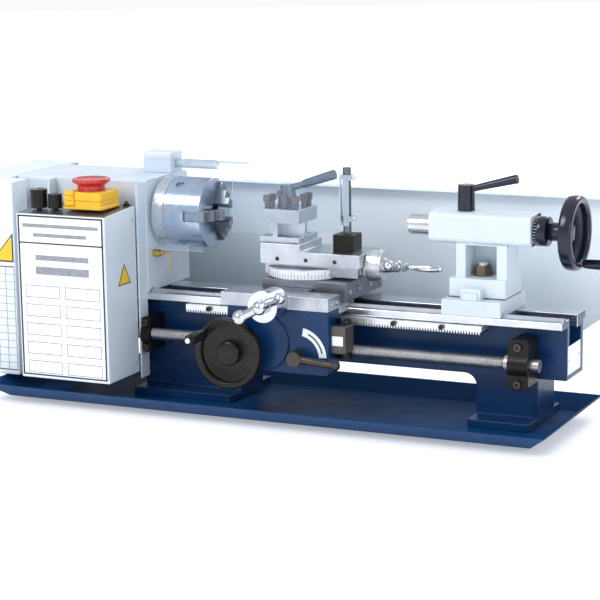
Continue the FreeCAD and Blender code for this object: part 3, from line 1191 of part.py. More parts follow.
doc.recompute()
for obj in doc.Objects:
    if "Invalid" in obj.State or "Error" in obj.State:
        raise RuntimeError("%s (%s) failed: %s" % (obj.Label, obj.Name, obj.State))
for piece in nodes:
    if piece.Shape.isNull() or not piece.Shape.isValid() or not piece.Shape.Solids:
        raise RuntimeError("%s has no valid shape" % piece.Label)
os.makedirs("parts", exist_ok=True)
for piece in nodes:
    piece.Shape.exportStep("parts/%s.step" % piece.Label)
print("%d nodes" % len(nodes))
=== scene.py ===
"""Looks for the bench metal lathe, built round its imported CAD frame. Metres, +Z up, row frame."""

import json
import math

import bmesh
import bpy
from mathutils import Matrix, Vector

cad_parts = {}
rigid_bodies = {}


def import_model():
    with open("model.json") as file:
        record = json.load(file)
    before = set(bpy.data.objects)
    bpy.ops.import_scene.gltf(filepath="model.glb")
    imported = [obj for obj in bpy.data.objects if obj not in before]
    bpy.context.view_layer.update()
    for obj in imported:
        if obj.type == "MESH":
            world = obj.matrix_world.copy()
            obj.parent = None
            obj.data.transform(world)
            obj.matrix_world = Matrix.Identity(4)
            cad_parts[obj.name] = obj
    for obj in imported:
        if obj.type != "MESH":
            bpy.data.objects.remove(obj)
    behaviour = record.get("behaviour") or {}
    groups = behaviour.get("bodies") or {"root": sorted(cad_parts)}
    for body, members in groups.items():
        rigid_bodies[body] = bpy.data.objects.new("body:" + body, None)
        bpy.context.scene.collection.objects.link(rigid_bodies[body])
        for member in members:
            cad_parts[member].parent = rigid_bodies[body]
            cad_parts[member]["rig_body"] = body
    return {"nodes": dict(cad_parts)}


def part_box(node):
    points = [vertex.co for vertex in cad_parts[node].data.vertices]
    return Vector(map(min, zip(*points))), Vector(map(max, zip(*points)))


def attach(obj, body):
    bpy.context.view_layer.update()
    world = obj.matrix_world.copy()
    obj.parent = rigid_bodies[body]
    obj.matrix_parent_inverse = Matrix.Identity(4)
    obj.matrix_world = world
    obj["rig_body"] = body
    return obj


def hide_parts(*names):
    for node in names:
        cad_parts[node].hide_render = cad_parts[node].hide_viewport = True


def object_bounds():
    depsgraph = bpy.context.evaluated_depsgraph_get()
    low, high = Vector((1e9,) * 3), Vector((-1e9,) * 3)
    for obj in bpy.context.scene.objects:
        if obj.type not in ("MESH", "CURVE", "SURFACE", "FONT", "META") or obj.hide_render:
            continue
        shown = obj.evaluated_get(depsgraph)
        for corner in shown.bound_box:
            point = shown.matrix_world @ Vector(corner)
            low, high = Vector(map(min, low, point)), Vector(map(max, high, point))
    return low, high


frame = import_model()
cad_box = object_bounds()
MM = 0.001
chuck_low, chuck_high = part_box("chuck_body")
# the spindle datum: the chuck's front face on the spindle axis
DATUM = Vector((chuck_high.x, (chuck_low.y + chuck_high.y) / 2, (chuck_low.z + chuck_high.z) / 2))


def at(x, y, z):
    """A point given in millimetres from the spindle datum."""
    return DATUM + Vector((x, y, z)) * MM


def on_side(face_x, y, z):
    """A point on a face that looks along x: face_x in metres, y and z in millimetres from the datum."""
    return Vector((face_x, at(0, y, 0).y, at(0, 0, z).z))


def on_front(x, face_y, z):
    """A point on a face that looks along y: face_y in metres, x and z in millimetres from the datum."""
    return Vector((at(x, 0, 0).x, face_y, at(0, 0, z).z))


# ---------------------------------------------------------------- camera, light, floor

def set_camera():
    """A long lens at the viewing angle, with no shift and no depth of field."""
    azimuth, elevation, roll = (math.radians(a) for a in (25.17, 11.08, -0.87))
    aim, distance, lens = at(106.4, 0, -94.5), 2.3031, 122.1
    back = Vector((math.sin(azimuth) * math.cos(elevation), -math.cos(azimuth) * math.cos(elevation),
                   math.sin(elevation)))
    right = Vector((math.cos(azimuth), math.sin(azimuth), 0))
    up = back.cross(right)
    side = right * math.cos(roll) + up * math.sin(roll)
    top = up * math.cos(roll) - right * math.sin(roll)
    data = bpy.data.cameras.new("camera")
    data.lens, data.sensor_width, data.clip_end = lens, 36, 50
    camera = bpy.data.objects.new("camera", data)
    bpy.context.scene.collection.objects.link(camera)
    turn = Matrix((side, top, back)).transposed().to_4x4()
    camera.matrix_world = Matrix.Translation(aim + back * distance) @ turn
    bpy.context.scene.camera = camera


def area_light(name, place, aim, size, power, colour=(1, 1, 1)):
    """A round soft light at a place, turned to its aim."""
    data = bpy.data.lights.new(name, "AREA")
    data.shape, data.size, data.energy, data.color = "DISK", size, power, colour
    light = bpy.data.objects.new(name, data)
    light.matrix_world = Matrix.Translation(place) @ (Vector(aim) - Vector(place)).to_track_quat(
        "-Z", "Y").to_matrix().to_4x4()
    bpy.context.scene.collection.objects.link(light)


def set_studio():
    """Three soft lights, and a pale sky that is darker in a band above the horizon."""
    centre = at(100, 0, -100)
    sky = ((0.0, (0.95, 0.96, 0.98, 1)), (0.12, (1, 1, 1, 1)), (0.35, (0.52, 0.57, 0.64, 1)),
           (0.9, (0.86, 0.9, 0.96, 1)))
    area_light("key", centre + Vector((-1.1, -1.9, 2.0)), centre, 1.3, 40)
    area_light("fill", centre + Vector((2.2, -1.6, 0.9)), centre, 1.6, 16, (0.95, 0.97, 1.0))
    area_light("rim", centre + Vector((0.6, 2.2, 1.6)), centre, 1.2, 26)
    world = bpy.data.worlds.new("studio")
    bpy.context.scene.world = world
    world.use_nodes = True
    nodes, links = world.node_tree.nodes, world.node_tree.links
    where = nodes.new("ShaderNodeTexCoord")
    split = nodes.new("ShaderNodeSeparateXYZ")
    ramp = nodes.new("ShaderNodeValToRGB")
    links.new(where.outputs["Generated"], split.inputs[0])
    links.new(split.outputs["Z"], ramp.inputs["Fac"])
    stops = ramp.color_ramp.elements
    stops[0].position, stops[0].color = sky[0]
    stops[1].position, stops[1].color = sky[-1]
    for height, colour in sky[1:-1]:
        stops.new(height).color = colour
    links.new(ramp.outputs["Color"], nodes["Background"].inputs["Color"])
    nodes["Background"].inputs["Strength"].default_value = 1.0
    bpy.context.scene.view_settings.view_transform = "Standard"
    bpy.context.scene.view_settings.look = "None"


def set_floor():
    """Plain pale floor just under the rubber feet."""
    mesh = bpy.data.meshes.new("floor")
    work = bmesh.new()
    bmesh.ops.create_circle(work, cap_ends=True, segments=96, radius=9)
    work.to_mesh(mesh)
    work.free()
    floor = bpy.data.objects.new("floor", mesh)
    floor.location = (0, 0, cad_box[0].z - 0.0004)
    bpy.context.scene.collection.objects.link(floor)
    sheet = finish("floor_sheet", (0.9, 0.9, 0.9), rough=(0.55, 0.65), mottle=0.01, mottle_scale=3,
                   grain=(0.02, 40))
    shader = sheet.node_tree.nodes["Principled BSDF"]
    shader.inputs["Emission Color"].default_value = (1, 1, 1, 1)
    shader.inputs["Emission Strength"].default_value = 0.35
    mesh.materials.append(sheet)


# ---------------------------------------------------------------- materials

class Nodes:
    """A material's node tree with short calls to add to it."""

    def __init__(self, name):
        self.material = bpy.data.materials.new(name)
        self.material.use_nodes = True
        self.tree = self.material.node_tree
        self.shader = self.tree.nodes["Principled BSDF"]

    def new(self, kind, **values):
        made = self.tree.nodes.new("ShaderNode" + kind)
        for key, value in values.items():
            if key in made.inputs:
                made.inputs[key].default_value = value
            else:
                setattr(made, key, value)
        return made

    def join(self, start, end):
        self.tree.links.new(start, end)

    def place(self, scale=(1, 1, 1), origin=None):
        """Position on the object in metres, moved to an origin and stretched."""
        where = self.new("TexCoord")
        mapping = self.new("Mapping")
        if origin is not None:
            mapping.inputs["Location"].default_value = [-a * s for a, s in zip(origin, scale)]
        mapping.inputs["Scale"].default_value = scale
        self.join(where.outputs["Object"], mapping.inputs["Vector"])
        return mapping.outputs["Vector"]

    def noise(self, vector, scale, detail=4.0, roughness=0.55):
        made = self.new("TexNoise", Scale=scale, Detail=detail, Roughness=roughness)
        self.join(vector, made.inputs["Vector"])
        return made.outputs["Fac"]

    def ramp(self, factor, low, high, out_low, out_high):
        made = self.new("MapRange")
        limits = {"From Min": low, "From Max": high, "To Min": out_low, "To Max": out_high}
        for key, value in limits.items():
            made.inputs[key].default_value = value
        self.join(factor, made.inputs["Value"])
        return made.outputs["Result"]

    def blend(self, factor, first, second):
        made = self.new("Mix", data_type="RGBA")
        for socket, value in ((made.inputs[6], first), (made.inputs[7], second)):
            if isinstance(value, tuple):
                socket.default_value = (*value, 1)
            else:
                self.join(value, socket)
        self.join(factor, made.inputs[0])
        return made.outputs[2]


def shade(colour, factor):
    """The colour made lighter or darker."""
    return tuple(min(1.0, c * factor) for c in colour)


def finish(name, colour, rough, metal=0.0, coat=0.0, mottle=0.08, mottle_scale=30, grain=(0.1, 500),
           lumps=None, streak=None, rings=None, dirt=None, alpha=None, specular=0.5):
    """Procedural finish: mottled colour, uneven gloss, fine grain, and streaks or turning rings."""
    n = Nodes(name)
    spot = n.place()
    broad = n.noise(spot, mottle_scale, detail=6)
    tone = n.blend(n.ramp(broad, 0.3, 0.7, 0, 1), shade(colour, 1 - mottle), shade(colour, 1 + mottle))
    if dirt:
        dirt_colour, dirt_share, dirt_scale = dirt
        patches = n.noise(spot, dirt_scale, detail=10, roughness=0.7)
        tone = n.blend(n.ramp(patches, 0.75 - dirt_share, 0.85, 0, 0.75), tone, dirt_colour)
    n.join(tone, n.shader.inputs["Base Color"])
    uneven = n.noise(n.place(streak) if streak else spot, 1.0 if streak else mottle_scale * 4, detail=6)
    n.join(n.ramp(uneven, 0.3, 0.7, *rough), n.shader.inputs["Roughness"])
    strength, scale = grain
    height = n.noise(n.place(streak), 1.0, detail=5) if streak else n.noise(spot, scale, detail=3)
    bump = n.new("Bump", Strength=strength, Distance=0.0004)
    n.join(height, bump.inputs["Height"])
    last = bump
    if lumps:
        wide = n.new("Bump", Strength=lumps[0], Distance=0.0012)
        n.join(n.noise(spot, lumps[1], detail=2), wide.inputs["Height"])
        n.join(last.outputs["Normal"], wide.inputs["Normal"])
        last = wide
    if rings:
        direction, origin, pitch = rings
        wave = n.new("TexWave", wave_type="RINGS", rings_direction=direction, Scale=pitch, Distortion=1.5)
        wave.inputs["Detail"].default_value = 2
        n.join(n.place(origin=origin), wave.inputs["Vector"])
        turned = n.new("Bump", Strength=0.12, Distance=0.0002)
        n.join(wave.outputs["Fac"], turned.inputs["Height"])
        n.join(last.outputs["Normal"], turned.inputs["Normal"])
        last = turned
    n.join(last.outputs["Normal"], n.shader.inputs["Normal"])
    n.shader.inputs["Metallic"].default_value = metal
    n.shader.inputs["Coat Weight"].default_value = coat
    n.shader.inputs["Coat Roughness"].default_value = 0.12
    n.shader.inputs["Specular IOR Level"].default_value = specular
    if alpha is not None:
        n.shader.inputs["Alpha"].default_value = alpha
    return n.material


# paints
navy = finish("navy_casting", (0.003, 0.030, 0.105), (0.26, 0.4), coat=0.06, specular=0.25, mottle=0.12,
              mottle_scale=22, grain=(0.12, 650), lumps=(0.22, 120))
navy_sheet = finish("navy_sheet", (0.003, 0.042, 0.135), (0.42, 0.52), specular=0.1, mottle=0.05,
                    mottle_scale=9, grain=(0.05, 420), lumps=(0.03, 18))
pale = finish("pale_casting", (0.60, 0.67, 0.74), (0.3, 0.45), coat=0.2, mottle=0.05, mottle_scale=18,
              grain=(0.12, 700), lumps=(0.16, 110), dirt=((0.36, 0.39, 0.42), 0.06, 35))
pale_sheet = finish("pale_sheet", (0.63, 0.70, 0.77), (0.32, 0.46), coat=0.15, mottle=0.04, mottle_scale=10,
                    grain=(0.08, 900), dirt=((0.42, 0.45, 0.48), 0.05, 14))
white_mould = finish("white_mould", (0.72, 0.77, 0.83), (0.38, 0.52), mottle=0.04, mottle_scale=12,
                     grain=(0.22, 1300), dirt=((0.5, 0.52, 0.54), 0.04, 16))
# painted light: the splash guard's paint is made lighter than the pale sheet paint, to offset the shade
# that the headstock casts on it
splash_paint_painted_light = finish("splash_paint_painted_light", (0.74, 0.81, 0.87), (0.36, 0.5), coat=0.1, mottle=0.03,
                      mottle_scale=8, grain=(0.08, 900), dirt=((0.52, 0.55, 0.58), 0.04, 12))
# painted shade: a darker grey for the splash guard's back, to tone down the light that falls on it
splash_back_painted_shade = finish("splash_back_painted_shade", (0.42, 0.47, 0.52), (0.4, 0.56), coat=0.05, mottle=0.05, mottle_scale=8,
                     grain=(0.1, 900), dirt=((0.3, 0.32, 0.34), 0.06, 12))
motor_paint = finish("motor_paint", (0.02, 0.02, 0.022), (0.35, 0.5), mottle=0.2, mottle_scale=40,
                     grain=(0.14, 800))

# bare, plated and blackened metals
steel = finish("ground_steel", (0.52, 0.55, 0.60), (0.2, 0.38), metal=1, mottle=0.1, mottle_scale=60,
               grain=(0.22, 1), streak=(40, 2600, 2600), dirt=((0.22, 0.2, 0.19), 0.07, 50))
steel_cross = finish("milled_steel", (0.46, 0.49, 0.54), (0.22, 0.4), metal=1, mottle=0.12, mottle_scale=70,
                     grain=(0.25, 1), streak=(2600, 60, 2600), dirt=((0.2, 0.19, 0.18), 0.08, 60))
way_steel = finish("way_steel", (0.64, 0.66, 0.70), (0.2, 0.36), metal=1, mottle=0.08, mottle_scale=60,
                   grain=(0.2, 1), streak=(30, 2600, 2600), dirt=((0.24, 0.22, 0.2), 0.06, 40))
# painted shade: a darker copy of the steel, for the cross slide, whose side lies in shadow, and for the
# band at the chuck's groove
shaded_steel = finish("shaded_steel", (0.26, 0.27, 0.31), (0.3, 0.45), metal=0.9, mottle=0.14,
                      mottle_scale=60, grain=(0.22, 1), streak=(2600, 60, 2600),
                      dirt=((0.12, 0.11, 0.1), 0.08, 50))
oiled_steel = finish("oiled_steel", (0.15, 0.115, 0.085), (0.34, 0.48), metal=0.7, mottle=0.12,
                     mottle_scale=90, grain=(0.15, 900), dirt=((0.22, 0.18, 0.14), 0.06, 120))
jaw_steel = finish("jaw_steel", (0.24, 0.26, 0.30), (0.26, 0.4), metal=0.9, mottle=0.2, mottle_scale=80,
                   grain=(0.15, 900), dirt=((0.08, 0.08, 0.09), 0.1, 110))
turned_x = finish("turned_steel", (0.58, 0.6, 0.62), (0.16, 0.32), metal=1, mottle=0.08, mottle_scale=50,
                  grain=(0.1, 900), rings=("X", DATUM, 900), dirt=((0.2, 0.2, 0.2), 0.05, 45))
chuck_steel = finish("chuck_steel", (0.42, 0.49, 0.61), (0.16, 0.28), metal=1, mottle=0.06, mottle_scale=40,
                     grain=(0.06, 900), rings=("X", DATUM, 700))
dark_steel = finish("blackened_steel", (0.07, 0.062, 0.054), (0.32, 0.5), metal=0.8, mottle=0.25,
                    mottle_scale=90, grain=(0.15, 900), dirt=((0.3, 0.27, 0.22), 0.1, 120))
blue_steel = finish("blued_steel", (0.13, 0.15, 0.18), (0.22, 0.36), metal=0.9, mottle=0.15,
                    mottle_scale=60, grain=(0.14, 800), dirt=((0.35, 0.36, 0.37), 0.08, 70))
chrome = finish("polished_plate", (0.60, 0.62, 0.65), (0.12, 0.22), metal=1, mottle=0.03, mottle_scale=60,
                grain=(0.03, 500))
satin_dial = finish("satin_dial", (0.66, 0.68, 0.7), (0.26, 0.38), metal=0.9, mottle=0.04, mottle_scale=80,
                    grain=(0.08, 1500))
bright_bar = finish("bright_bar", (0.72, 0.74, 0.77), (0.25, 0.4), metal=0.75, mottle=0.06, mottle_scale=60,
                    grain=(0.1, 900), dirt=((0.3, 0.28, 0.26), 0.05, 50))
screw_steel = finish("screw_steel", (0.36, 0.36, 0.37), (0.28, 0.42), metal=0.9, mottle=0.15,
                     mottle_scale=50, grain=(0.1, 900), dirt=((0.12, 0.11, 0.1), 0.1, 60))
top_plate = finish("top_plate", (0.20, 0.20, 0.22), (0.2, 0.34), metal=0.8, mottle=0.1, mottle_scale=30,
                   grain=(0.16, 1), streak=(60, 2400, 2400))
brass = finish("brass", (0.62, 0.42, 0.14), (0.2, 0.36), metal=1, mottle=0.1, mottle_scale=80,
               grain=(0.12, 900), dirt=((0.2, 0.14, 0.05), 0.08, 90))
black_iron = finish("black_iron", (0.008, 0.007, 0.007), (0.26, 0.42), specular=0.22, mottle=0.3,
                    mottle_scale=45, grain=(0.16, 700), lumps=(0.25, 150),
                    dirt=((0.05, 0.045, 0.04), 0.08, 60))
case_iron = finish("case_iron", (0.085, 0.078, 0.072), (0.35, 0.5), metal=0.3, mottle=0.2, mottle_scale=60,
                   grain=(0.2, 800), lumps=(0.2, 140))
wheel_black = finish("wheel_black", (0.009, 0.007, 0.007), (0.2, 0.34), specular=0.28, mottle=0.2,
                     mottle_scale=45, grain=(0.06, 700), dirt=((0.05, 0.045, 0.04), 0.05, 60))

# rubber and plastics
rubber = finish("black_rubber", (0.012, 0.012, 0.012), (0.6, 0.8), mottle=0.2, mottle_scale=70,
                grain=(0.25, 1200), specular=0.2)
black_plastic = finish("black_plastic", (0.008, 0.008, 0.009), (0.18, 0.32), mottle=0.15, mottle_scale=50,
                       grain=(0.06, 900), specular=0.25)
navy_plastic = finish("navy_plastic", (0.008, 0.010, 0.026), (0.14, 0.26), coat=0.15, specular=0.35,
                      mottle=0.15, mottle_scale=40, grain=(0.05, 700))
yellow = finish("yellow_plastic", (0.78, 0.45, 0.012), (0.28, 0.42), mottle=0.06, mottle_scale=60,
                grain=(0.08, 1100), dirt=((0.5, 0.3, 0.03), 0.05, 70))
red = finish("red_plastic", (0.48, 0.016, 0.016), (0.2, 0.34), coat=0.3, mottle=0.06, mottle_scale=60,
             grain=(0.05, 900))
clear = finish("clear_sheet", (0.32, 0.44, 0.60), (0.06, 0.12), mottle=0.03, mottle_scale=8,
               grain=(0.02, 60), alpha=0.1)
clear_edge = finish("clear_edge", (0.55, 0.64, 0.72), (0.12, 0.25), mottle=0.06, mottle_scale=30,
                    grain=(0.05, 400), alpha=0.7)

# printed plates
print_white = finish("print_white", (0.80, 0.83, 0.87), (0.3, 0.42), mottle=0.03, mottle_scale=25,
                     grain=(0.04, 900), dirt=((0.6, 0.6, 0.6), 0.04, 30))
print_black = finish("print_black", (0.02, 0.02, 0.024), (0.35, 0.5), mottle=0.2, mottle_scale=200,
                     grain=(0.05, 900))
print_grey = finish("print_grey", (0.25, 0.27, 0.3), (0.35, 0.5), mottle=0.15, mottle_scale=200,
                    grain=(0.05, 900))
print_yellow = finish("print_yellow", (0.82, 0.52, 0.02), (0.3, 0.42), mottle=0.05, mottle_scale=120,
                      grain=(0.05, 900))


# ---------------------------------------------------------------- CAD nodes, with edges eased

def mesh_area(mesh):
    """Area of all of a mesh's faces."""
    return sum(face.area for face in mesh.polygons)


def eased(node, material, width=0.6, other=None, is_other=None, drop=None):
    """The node's own shape with its flat faces joined and its sharp edges rounded.

    Faces that is_other accepts get the other material, and faces that drop accepts are left out.
    """
    source = frame["nodes"][node]
    work = bmesh.new()
    work.from_mesh(source.data)
    bmesh.ops.remove_doubles(work, verts=work.verts, dist=2e-6)
    bmesh.ops.dissolve_limit(work, angle_limit=math.radians(0.6), verts=work.verts, edges=work.edges)
    if node in PIERCED:
        hollow = [face for face in work.faces if not all(loop.is_convex for loop in face.loops)]
        bmesh.ops.triangulate(work, faces=hollow)
    if drop:
        bmesh.ops.delete(work, geom=[face for face in work.faces if drop(face)], context="FACES")
    second = [1 if is_other and is_other(face) else 0 for face in work.faces]
    mesh = bpy.data.meshes.new("look_" + node)
    work.to_mesh(mesh)
    work.free()
    if "custom_normal" in mesh.attributes:
        mesh.attributes.remove(mesh.attributes["custom_normal"])
    mesh.materials.append(material)
    if other:
        mesh.materials.append(other)
    mesh.polygons.foreach_set("use_smooth", [True] * len(mesh.polygons))
    mesh.polygons.foreach_set("material_index", second)
    made = bpy.data.objects.new("look_" + node, mesh)
    bpy.context.scene.collection.objects.link(made)
    ease_safely(made, width)
    settle(made, source["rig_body"])
    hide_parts(node)
    return made


def ease_safely(made, width):
    """Rounds the edges by the widest radius that folds no face: a fold would add area."""
    sharp = mesh_area(made.data)
    for share, clamped in ((1, False), (0.6, False), (0.35, False), (1, True), (0.2, False), (0.2, True)):
        bevel = ease_edges(made, max(width * share, 0.05))
        bevel.use_clamp_overlap = clamped
        bpy.context.view_layer.update()
        rounded = made.evaluated_get(bpy.context.evaluated_depsgraph_get())
        if mesh_area(rounded.data) <= sharp * 1.001:
            return
        made.modifiers.remove(bevel)
    made.data.set_sharp_from_angle(angle=math.radians(32))


def ease_edges(made, width, segments=2):
    """Rounds every edge sharper than 32 degrees, by a width in millimetres."""
    bevel = made.modifiers.new("ease", "BEVEL")
    bevel.width, bevel.segments = width * MM, segments
    bevel.limit_method, bevel.angle_limit = "ANGLE", math.radians(32)
    bevel.use_clamp_overlap = False
    bevel.harden_normals = True
    return bevel


def settle(piece, body):
    """Lets a piece move with its body."""
    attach(piece, body)


# castings and sheets whose faces have windows in them
PIERCED = ("tailstock_body", "control_box_bracket")
EASED = [
    ("chip_tray", navy_sheet, 0.4), ("rubber_feet", rubber, 0.6),
    ("frame_screws", dark_steel, 0.3), ("headstock", pale, 1.0), ("gear_cover", white_mould, 2.2),
    ("control_box", pale_sheet, 0.9), ("control_box_bracket", pale_sheet, 0.5),
    ("motor", motor_paint, 1.2), ("spindle_bearings", turned_x, 0.4),
    ("leadscrew_bracket_left", black_iron, 0.8), ("leadscrew_bracket_right", black_iron, 0.8),
    ("estop_base", yellow, 0.8), ("drive_belt", rubber, 0.4), ("guard_hinge_block", pale_sheet, 0.8),
    ("spindle", turned_x, 0.4), ("spindle_pulley", dark_steel, 0.1), ("chuck_body", chuck_steel, 0.7),
    ("chuck_scroll", turned_x, 0.3), ("chuck_jaw_1", jaw_steel, 0.35), ("chuck_jaw_2", jaw_steel, 0.35),
    ("chuck_jaw_3", jaw_steel, 0.35), ("motor_pulley", dark_steel, 0.4), ("stud_gear", black_iron, 0.1),
    ("idler_gear", black_iron, 0.1), ("speed_knob", black_plastic, 0.4),
    ("direction_knob", black_plastic, 0.4), ("estop_lid", yellow, 0.8), ("estop_button", red, 1.0),
    ("saddle", steel_cross, 0.5), ("apron", navy, 0.9),
    ("carriage_handle", black_plastic, 0.5), ("half_nut_lever", dark_steel, 0.5),
    ("half_nut_upper", brass, 0.3), ("half_nut_lower", brass, 0.3), ("thread_dial", black_plastic, 0.3),
    # the cross slide's darker steel is painted shade
    ("cross_slide", shaded_steel, 0.5), ("cross_crank", chrome, 0.3), ("cross_handle", chrome, 0.2),
    ("compound_base", steel_cross, 0.5), ("compound_slide", steel, 0.5), ("compound_handle", chrome, 0.2),
    ("tool_post", steel_cross, 0.4), ("tool_post_bolts", oiled_steel, 0.3),
    ("tool_post_lever", blue_steel, 0.4), ("tailstock_base", pale, 0.5),
    ("tailstock_body", pale, 1.0), ("quill", turned_x, 0.4),
    ("tailstock_handle", navy_plastic, 0.5), ("quill_lock_lever", navy_plastic, 0.5),
    ("tailstock_clamp", oiled_steel, 0.3)]
for node_name, look, edge_width in EASED:
    eased(node_name, look, edge_width)


def ground_way(face):
    """The bed's two rails are left as bare ground steel down to their lower edge."""
    return face.calc_center_median().z > at(0, 0, -98.9).z


def longest_edge(face):
    return max(edge.calc_length() for edge in face.edges)


def sheet_edge(face):
    """A narrow face along the cut edge of a clear sheet, which is at most 3 mm thick."""
    return face.calc_area() / longest_edge(face) < 3.4 * MM


def long_face(face):
    """The leadscrew's plain barrel, whose place the thread takes."""
    return longest_edge(face) > 120 * MM


def tooth_painted_shade(face):
    """Painted shade: the flanks and roots of the rack's teeth, which lie in shadow, get a near-black
    material.
    """
    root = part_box("rack")[0].z + 3.4 * MM
    return face.calc_center_median().z < root and abs(face.normal.y) < 0.5 and face.normal.z > -0.99


def stand_block(face):
    """The black block at the foot of the chip shield's post."""
    return face.calc_center_median().z < at(0, 0, -14.5).z


def painted_shade_rear(face):
    """Painted shade: the splash guard's back faces get a darker grey than its front, to tone down the light
    on the back.
    """
    return face.normal.y > 0.7


def dial_drum(face):
    """The dial and its disc are satin; the arm, balls and neck behind them are polished."""
    return at(193.3, 0, 0).x < face.calc_center_median().x < at(211.6, 0, 0).x


eased("bed", navy, 1.2, way_steel, ground_way)
# the splash guard's back faces are painted darker, as shade
eased("splash_guard", splash_paint_painted_light, 0.35, splash_back_painted_shade, painted_shade_rear)
eased("compound_crank", chrome, 0.3, satin_dial, dial_drum)
# the rack's tooth flanks and roots are painted near-black as shade
eased("rack", bright_bar, 0.12, black_iron, tooth_painted_shade)
eased("guard_post", blue_steel, 0.4, black_iron, stand_block)
eased("chuck_guard", clear, 0.3, clear_edge, sheet_edge)
eased("tool_guard", clear, 0.3, clear_edge, sheet_edge)
eased("leadscrew", screw_steel, 0.1, drop=long_face)


# ---------------------------------------------------------------- pieces added to the CAD

def box_into(work, low, high):
    """A box between two opposite corners."""
    made = bmesh.ops.create_cube(work, size=1)["verts"]
    low, high = Vector(low), Vector(high)
    for vertex in made:
        vertex.co = Vector(low[i] + (vertex.co[i] + 0.5) * (high[i] - low[i]) for i in range(3))


def round_into(work, start, end, radius, tip=None, segments=32):
    """A rod from start to end, or a cone if the tip has its own radius."""
    run = Vector(end) - Vector(start)
    made = bmesh.ops.create_cone(work, cap_ends=True, segments=segments, radius1=radius,
                                 radius2=radius if tip is None else tip, depth=run.length)["verts"]
    turn = run.to_track_quat("Z", "Y").to_matrix().to_4x4()
    middle = Matrix.Translation((Vector(start) + Vector(end)) / 2)
    bmesh.ops.transform(work, verts=made, matrix=middle @ turn)


def prism_into(work, points, direction):
    """A flat outline pushed along a direction."""
    face = work.faces.new([work.verts.new(p) for p in points])
    moved = bmesh.ops.extrude_face_region(work, geom=[face])["geom"]
    bmesh.ops.translate(work, verts=[v for v in moved if isinstance(v, bmesh.types.BMVert)],
                        vec=Vector(direction))
    bmesh.ops.recalc_face_normals(work, faces=work.faces)


def skin_into(work, rows):
    """Joins rows of four points into a closed bar with flat ends."""
    rings = [[work.verts.new(point) for point in row] for row in rows]
    for first, second in zip(rings, rings[1:]):
        for k in range(4):
            work.faces.new((first[k], first[(k + 1) % 4], second[(k + 1) % 4], second[k]))
    work.faces.new(rings[0])
    work.faces.new(list(reversed(rings[-1])))
    bmesh.ops.recalc_face_normals(work, faces=work.faces)


def ring_into(work, centre, out, outline, steps=96, closed=True):
    """Turns an outline of (radius, height along out) about an axis through the centre."""
    out = Vector(out).normalized()
    first = out.orthogonal().normalized()
    second = out.cross(first)
    loops = []
    for k in range(steps):
        a = math.tau * k / steps
        run = first * math.cos(a) + second * math.sin(a)
        loops.append([work.verts.new(centre + (run * r + out * h) * MM) for r, h in outline])
    count = len(outline)
    for k in range(steps):
        now, following = loops[k], loops[(k + 1) % steps]
        for j in range(count if closed else count - 1):
            work.faces.new((now[j], following[j], following[(j + 1) % count], now[(j + 1) % count]))
    bmesh.ops.recalc_face_normals(work, faces=work.faces)


def piece(name, fill, material, body, slot, width=0.2, segments=2):
    """A new mesh piece: fill(work) adds its solids, and its edges are rounded."""
    work = bmesh.new()
    fill(work)
    mesh = bpy.data.meshes.new(name)
    work.to_mesh(mesh)
    work.free()
    mesh.polygons.foreach_set("use_smooth", [True] * len(mesh.polygons))
    mesh.materials.append(material)
    made = bpy.data.objects.new(name, mesh)
    bpy.context.scene.collection.objects.link(made)
    if width:
        ease_edges(made, width, segments)
    settle(made, body)
    return made


def screws(name, places, direction, radius, reach, body, slot, material):
    """A row of cap screws, each with a sunk socket."""
    def fill(work):
        for place in places:
            socket_cap(work, place, direction, radius, reach)
    piece(name, fill, material, body, slot, width=0.25)


def socket_cap(work, place, direction, radius, reach):
    """One screw's head: round cap, turned edge and sunk socket."""
    turn = Vector(direction).to_track_quat("Z", "Y").to_matrix().to_4x4()
    base = Matrix.Translation(Vector(place)) @ turn
    outline = [(radius, 0), (radius, reach * 0.85), (radius * 0.86, reach), (radius * 0.5, reach),
               (radius * 0.46, reach * 0.45)]
    steps = 24
    angles = [math.tau * k / steps for k in range(steps)]
    loops = [[work.verts.new(base @ (Vector((r * math.cos(a), r * math.sin(a), h)) * MM)) for a in angles]
             for r, h in outline]
    bottom = work.verts.new(base @ Vector((0, 0, reach * 0.4 * MM)))
    for k in range(steps):
        n = (k + 1) % steps
        for first, second in zip(loops, loops[1:]):
            work.faces.new((first[k], first[n], second[n], second[k]))
        work.faces.new((loops[-1][k], loops[-1][n], bottom))
    work.faces.new(list(reversed(loops[0])))


# ---------------------------------------------------------------- plates and signs, without lettering

